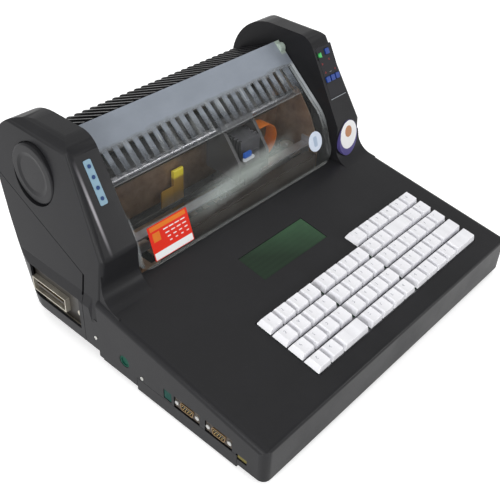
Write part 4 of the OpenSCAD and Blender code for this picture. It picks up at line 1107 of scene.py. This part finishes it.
class DressSockets(bpy.types.Operator):
    """Finishes the sockets on the left flank and adds their pins."""
    bl_idname = "register.dress_sockets"
    bl_label = "Dress sockets"
    # Depths behind the flank: the bracket starts at one, the serial shells end at the other
    BRACKET_DEPTH = 5.2
    SHELL_DEPTH = 1.05
    # Half lengths and half heights of the parallel port's tongue and of a serial port's opening
    TONGUE = (21.4, 1.5)
    OPENING = (7.5, 3.4)
    # Distances from a serial port's middle to the ends of its shell and of its screws
    SHELL_END = 9.5
    SCREW_END = 15.5

    def execute(self, context):
        dressed("parallel_port", self.parallel_metal(), 0.0003)
        dressed("serial_ports", self.serial_metal(), 0.0002)
        dressed("side_sockets", self.socket_plastic(), 0.0003)
        self.add_flank_screws()
        self.add_pins(ground_steel("gold pins", (0.75, 0.55, 0.22), 0.25))
        return {"FINISHED"}

    def within(self, f, middle, half):
        """1 inside an oblong on the flank, round its middle."""
        (y, z), (long, high) = middle, half
        return (f.off("Z", over_base(z)) < high * MM) * (f.off("Y", from_front(y)) < long * MM)

    def parallel_metal(self):
        """Pale tinned shell and screw; brown tongue; a dark, dull bracket deeper behind the flank."""
        f = Finish("parallel port metal")
        tongue = self.within(f, PARALLEL_PORT, self.TONGUE)
        bracket = f.step(f.axis("X") + FLANK * MM, self.BRACKET_DEPTH, 0.4)
        tarnish = f.spread(f.noise(0.015, 4), 0.4, 0.75)
        grain = f.noise(0.003, 4, f.stretched((1, 1, 7)), 0.7)
        tinned = f.mix(tarnish, (0.52, 0.49, 0.42), (0.32, 0.29, 0.24))
        metal = f.mix(bracket, tinned, (0.020, 0.018, 0.016))
        return f.surface(f.mix(tongue, metal, (0.030, 0.022, 0.016)), 0.34 + grain * 0.15,
                         f.bump(grain, 0.00002, 0.5), metallic=0.75 - f.most(tongue, bracket) * 0.75)

    def serial_metal(self):
        """Brown flanges with gold-brown shells and bright hexagon screws."""
        f = Finish("serial port metal")
        raised = f.axis("X") + FLANK * MM < self.SHELL_DEPTH * MM
        shell = screw = inside = 0.0
        for port in SERIAL_PORTS:
            off = f.off("Y", from_front(port[0]))
            shell = raised * (off < self.SHELL_END * MM) + shell
            screw = raised * (off > self.SHELL_END * MM) * (off < self.SCREW_END * MM) + screw
            inside = self.within(f, port, self.OPENING) + inside
        tarnish = f.spread(f.noise(0.006, 4), 0.4, 0.75)
        flange = f.mix(tarnish, (0.050, 0.036, 0.024), (0.022, 0.018, 0.015))
        hollow = f.mix(inside, flange, (0.010, 0.011, 0.013))
        metal = f.mix(screw, f.mix(shell, hollow, (0.24, 0.155, 0.075)), (0.40, 0.40, 0.39))
        grain = f.noise(0.002, 3)
        return f.surface(metal, 0.34 + grain * 0.15, f.bump(grain, 0.00002, 0.5), metallic=0.35 + shell * 0.4)

    def socket_plastic(self):
        """Teal sockets; the round one is greener, the foremost one ochre."""
        f = Finish("socket plastic")
        y = f.axis("Y") - FRONT_EDGE
        rear, front = f.step(y, 140, 5), f.step(y, 60, -10)
        grain = f.noise(0.0006, 3)
        dust = f.spread(f.noise(0.003, 3), 0.55, 0.75)
        colour = f.mix(front, f.mix(rear, (0.005, 0.040, 0.032), (0.006, 0.055, 0.036)), (0.13, 0.11, 0.035))
        return f.surface(f.mix(dust * 0.2, colour, (0.16, 0.18, 0.17)), 0.55 + grain * 0.2,
                         f.bump(grain, 0.00004, 0.6), Specular_IOR_Level=0.12)

    def add_flank_screws(self):
        """Two small bright screws low on the flank."""
        bright = ground_steel("flank screws", (0.70, 0.70, 0.66), 0.3)
        heads = [lay(disc(1.9, 0.9, 32, 0.3), LEFT_FLANK, -y, z, -0.2) for y, z in FLANK_SCREWS]
        slots = [lay(plate(2.8, 0.5, 0.12), LEFT_FLANK, -y, z, 0.66, 0.6) for y, z in FLANK_SCREWS]
        finish_piece(join(heads), "flank_screws", "case", "case_screws", bright)
        finish_piece(join(slots), "flank_screw_slots", "case", "case_screws",
                     printed_film("slot shadow", (0.02, 0.02, 0.02)))

    def add_pins(self, gold):
        """Nine contact pins in each serial socket and two rows on the parallel port's tongue."""
        pins = [lay(disc(0.5, 1.5, 12), LEFT_FLANK, (i - (count - 1) / 2) * PIN_PITCH - y, z + rise, -1.6)
                for y, z in SERIAL_PORTS for rise, count in ((1.4, 5), (-1.4, 4)) for i in range(count)]
        finish_piece(join(pins), "serial_pins", "case", "serial_ports", gold)
        y, z = PARALLEL_PORT
        first = -y - (CONTACTS_IN_ROW - 1) / 2 * CONTACT_PITCH
        contacts = [lay(plate(1.0, 0.25, 4.5), LEFT_FLANK, first + i * CONTACT_PITCH, z + rise, -6.4)
                    for rise in (1.35, -1.35) for i in range(CONTACTS_IN_ROW)]
        finish_piece(join(contacts), "parallel_contacts", "case", "parallel_port", gold)


class ApplyLabels(bpy.types.Operator):
    """Puts the plain stickers on the lid and the right cheek."""
    bl_idname = "register.apply_labels"
    bl_label = "Apply labels"
    BADGE_TILT = math.radians(80)

    def execute(self, context):
        values = settings(context).labels
        red = printed_film("red print", values.red)
        amber = printed_film("amber print", values.amber)
        white = printed_film("white print", values.white)
        self.lid_sticker(red, amber, white)
        self.round_sticker(printed_film("pale blue print", (0.56, 0.62, 0.72)),
                           printed_film("grey print", (0.34, 0.42, 0.54)))
        self.oval_badge(printed_film("violet print", values.violet), white,
                        printed_film("tan print", values.tan))
        return {"FINISHED"}

    def stick(self, name, pieces, level, finish):
        """Lays flat pieces on the lid's lower flat; each comes with its place across and up it."""
        laid = [lay(piece, LID_LOW, x, up, level) for piece, x, up in pieces]
        finish_piece(join(laid), name, "lid", "lid", finish)

    def lid_sticker(self, red, amber, white):
        """Oblong sticker with two bars, rows of dashes and a foot."""
        x, up = LID_STICKER
        printed = GAP + FILM
        self.stick("lid_sticker_field", [(plate(51, 35, FILM, 1.0), x, up)], GAP, red)
        self.stick("lid_sticker_foot", [(plate(49, 7, INK, 0.6), x, 8.6)], printed, white)
        bars = [(plate(46, 4.4, INK, 0.4), x, 36.0), (plate(9, 9, INK, 0.4), x - 17, 27.0)]
        self.stick("lid_sticker_bars", bars, printed, amber)
        across, down = 7.4, 4.4
        dashes = [(plate(6.0 - row, 1.1, INK, 0.3), x - 4.5 + column * across + row, 30.5 - row * down)
                  for row in range(4) for column in range(4)]
        self.stick("lid_sticker_dashes", dashes, printed, white)

    def round_sticker(self, pale, grey):
        """Round sticker with one upright bar."""
        self.stick("round_sticker", [(disc(11.5, FILM, 64), *ROUND_STICKER)], GAP, pale)
        self.stick("round_sticker_bar", [(plate(6, 12, INK, 2.0), *ROUND_STICKER)], GAP + FILM, grey)

    def oval_badge(self, violet, white, tan):
        """Raised oval badge on the right cheek's face; it leans out over the cheek's foot."""
        y, z = CHEEK_KNEE
        face = plane(0, y - 0.8, z, self.BADGE_TILT)
        for name, long, wide, x, up, turn, top, thick, finish in (
                ("badge_rim", 42, 33, 169, -17.0, 80, 0.0, 6.0, violet),
                ("badge_face", 34, 30, 169, -12.8, 88, 0.4, 0.5, white),
                ("badge_ring", 14, 12, 168.5, -8.5, 100, 0.7, 0.4, tan)):
            oval = stretch(disc(0.5, thick, 64), long, wide)
            lay(oval, face, x, up, top - thick, math.radians(turn))
            finish_piece(oval, name, "case", "control_panel", finish)


class RegisterPanel(bpy.types.Panel):
    """Lists the steps that build the register."""
    bl_idname = "VIEW3D_PT_ticket_register"
    bl_label = "Ticket Register"
    bl_space_type = "VIEW_3D"
    bl_region_type = "UI"
    bl_category = "Register"

    def draw(self, context):
        for step in STEPS:
            self.layout.operator(step.bl_idname)
        for group in ("stage", "case", "lid", "keys", "labels"):
            box = self.layout.box()
            values = getattr(settings(context), group)
            for name in values.__annotations__:
                box.prop(values, name)


class RegisterSettings(bpy.types.PropertyGroup):
    """All settings of the register."""
    stage: PointerProperty(name="Stage", description="Camera and light", type=StageSettings)
    case: PointerProperty(name="Case", description="Moulded shells", type=CaseSettings)
    lid: PointerProperty(name="Lid", description="Clear lid", type=LidSettings)
    keys: PointerProperty(name="Keys", description="Key caps", type=KeySettings)
    labels: PointerProperty(name="Labels", description="Plain stickers", type=LabelSettings)


STEPS = (BuildStage, DressCasings, DressLid, DressPrinter, DressKeys, DressDisplay, DressPanel, DressSockets,
         ApplyLabels)
CLASSES = (StageSettings, CaseSettings, LidSettings, KeySettings, LabelSettings, RegisterSettings, *STEPS,
           RegisterPanel)


def register():
    """Adds the classes, and the settings to the scene."""
    for item in CLASSES:
        bpy.utils.register_class(item)
    bpy.types.Scene.ticket_register = PointerProperty(type=RegisterSettings)


def unregister():
    """Takes out what register added."""
    del bpy.types.Scene.ticket_register
    for item in reversed(CLASSES):
        bpy.utils.unregister_class(item)


def main():
    """Builds the register."""
    register()
    for step in STEPS:
        group, name = step.bl_idname.split(".")
        getattr(getattr(bpy.ops, group), name)()
    bpy.context.view_layer.update()


if __name__ == "__main__":
    main()
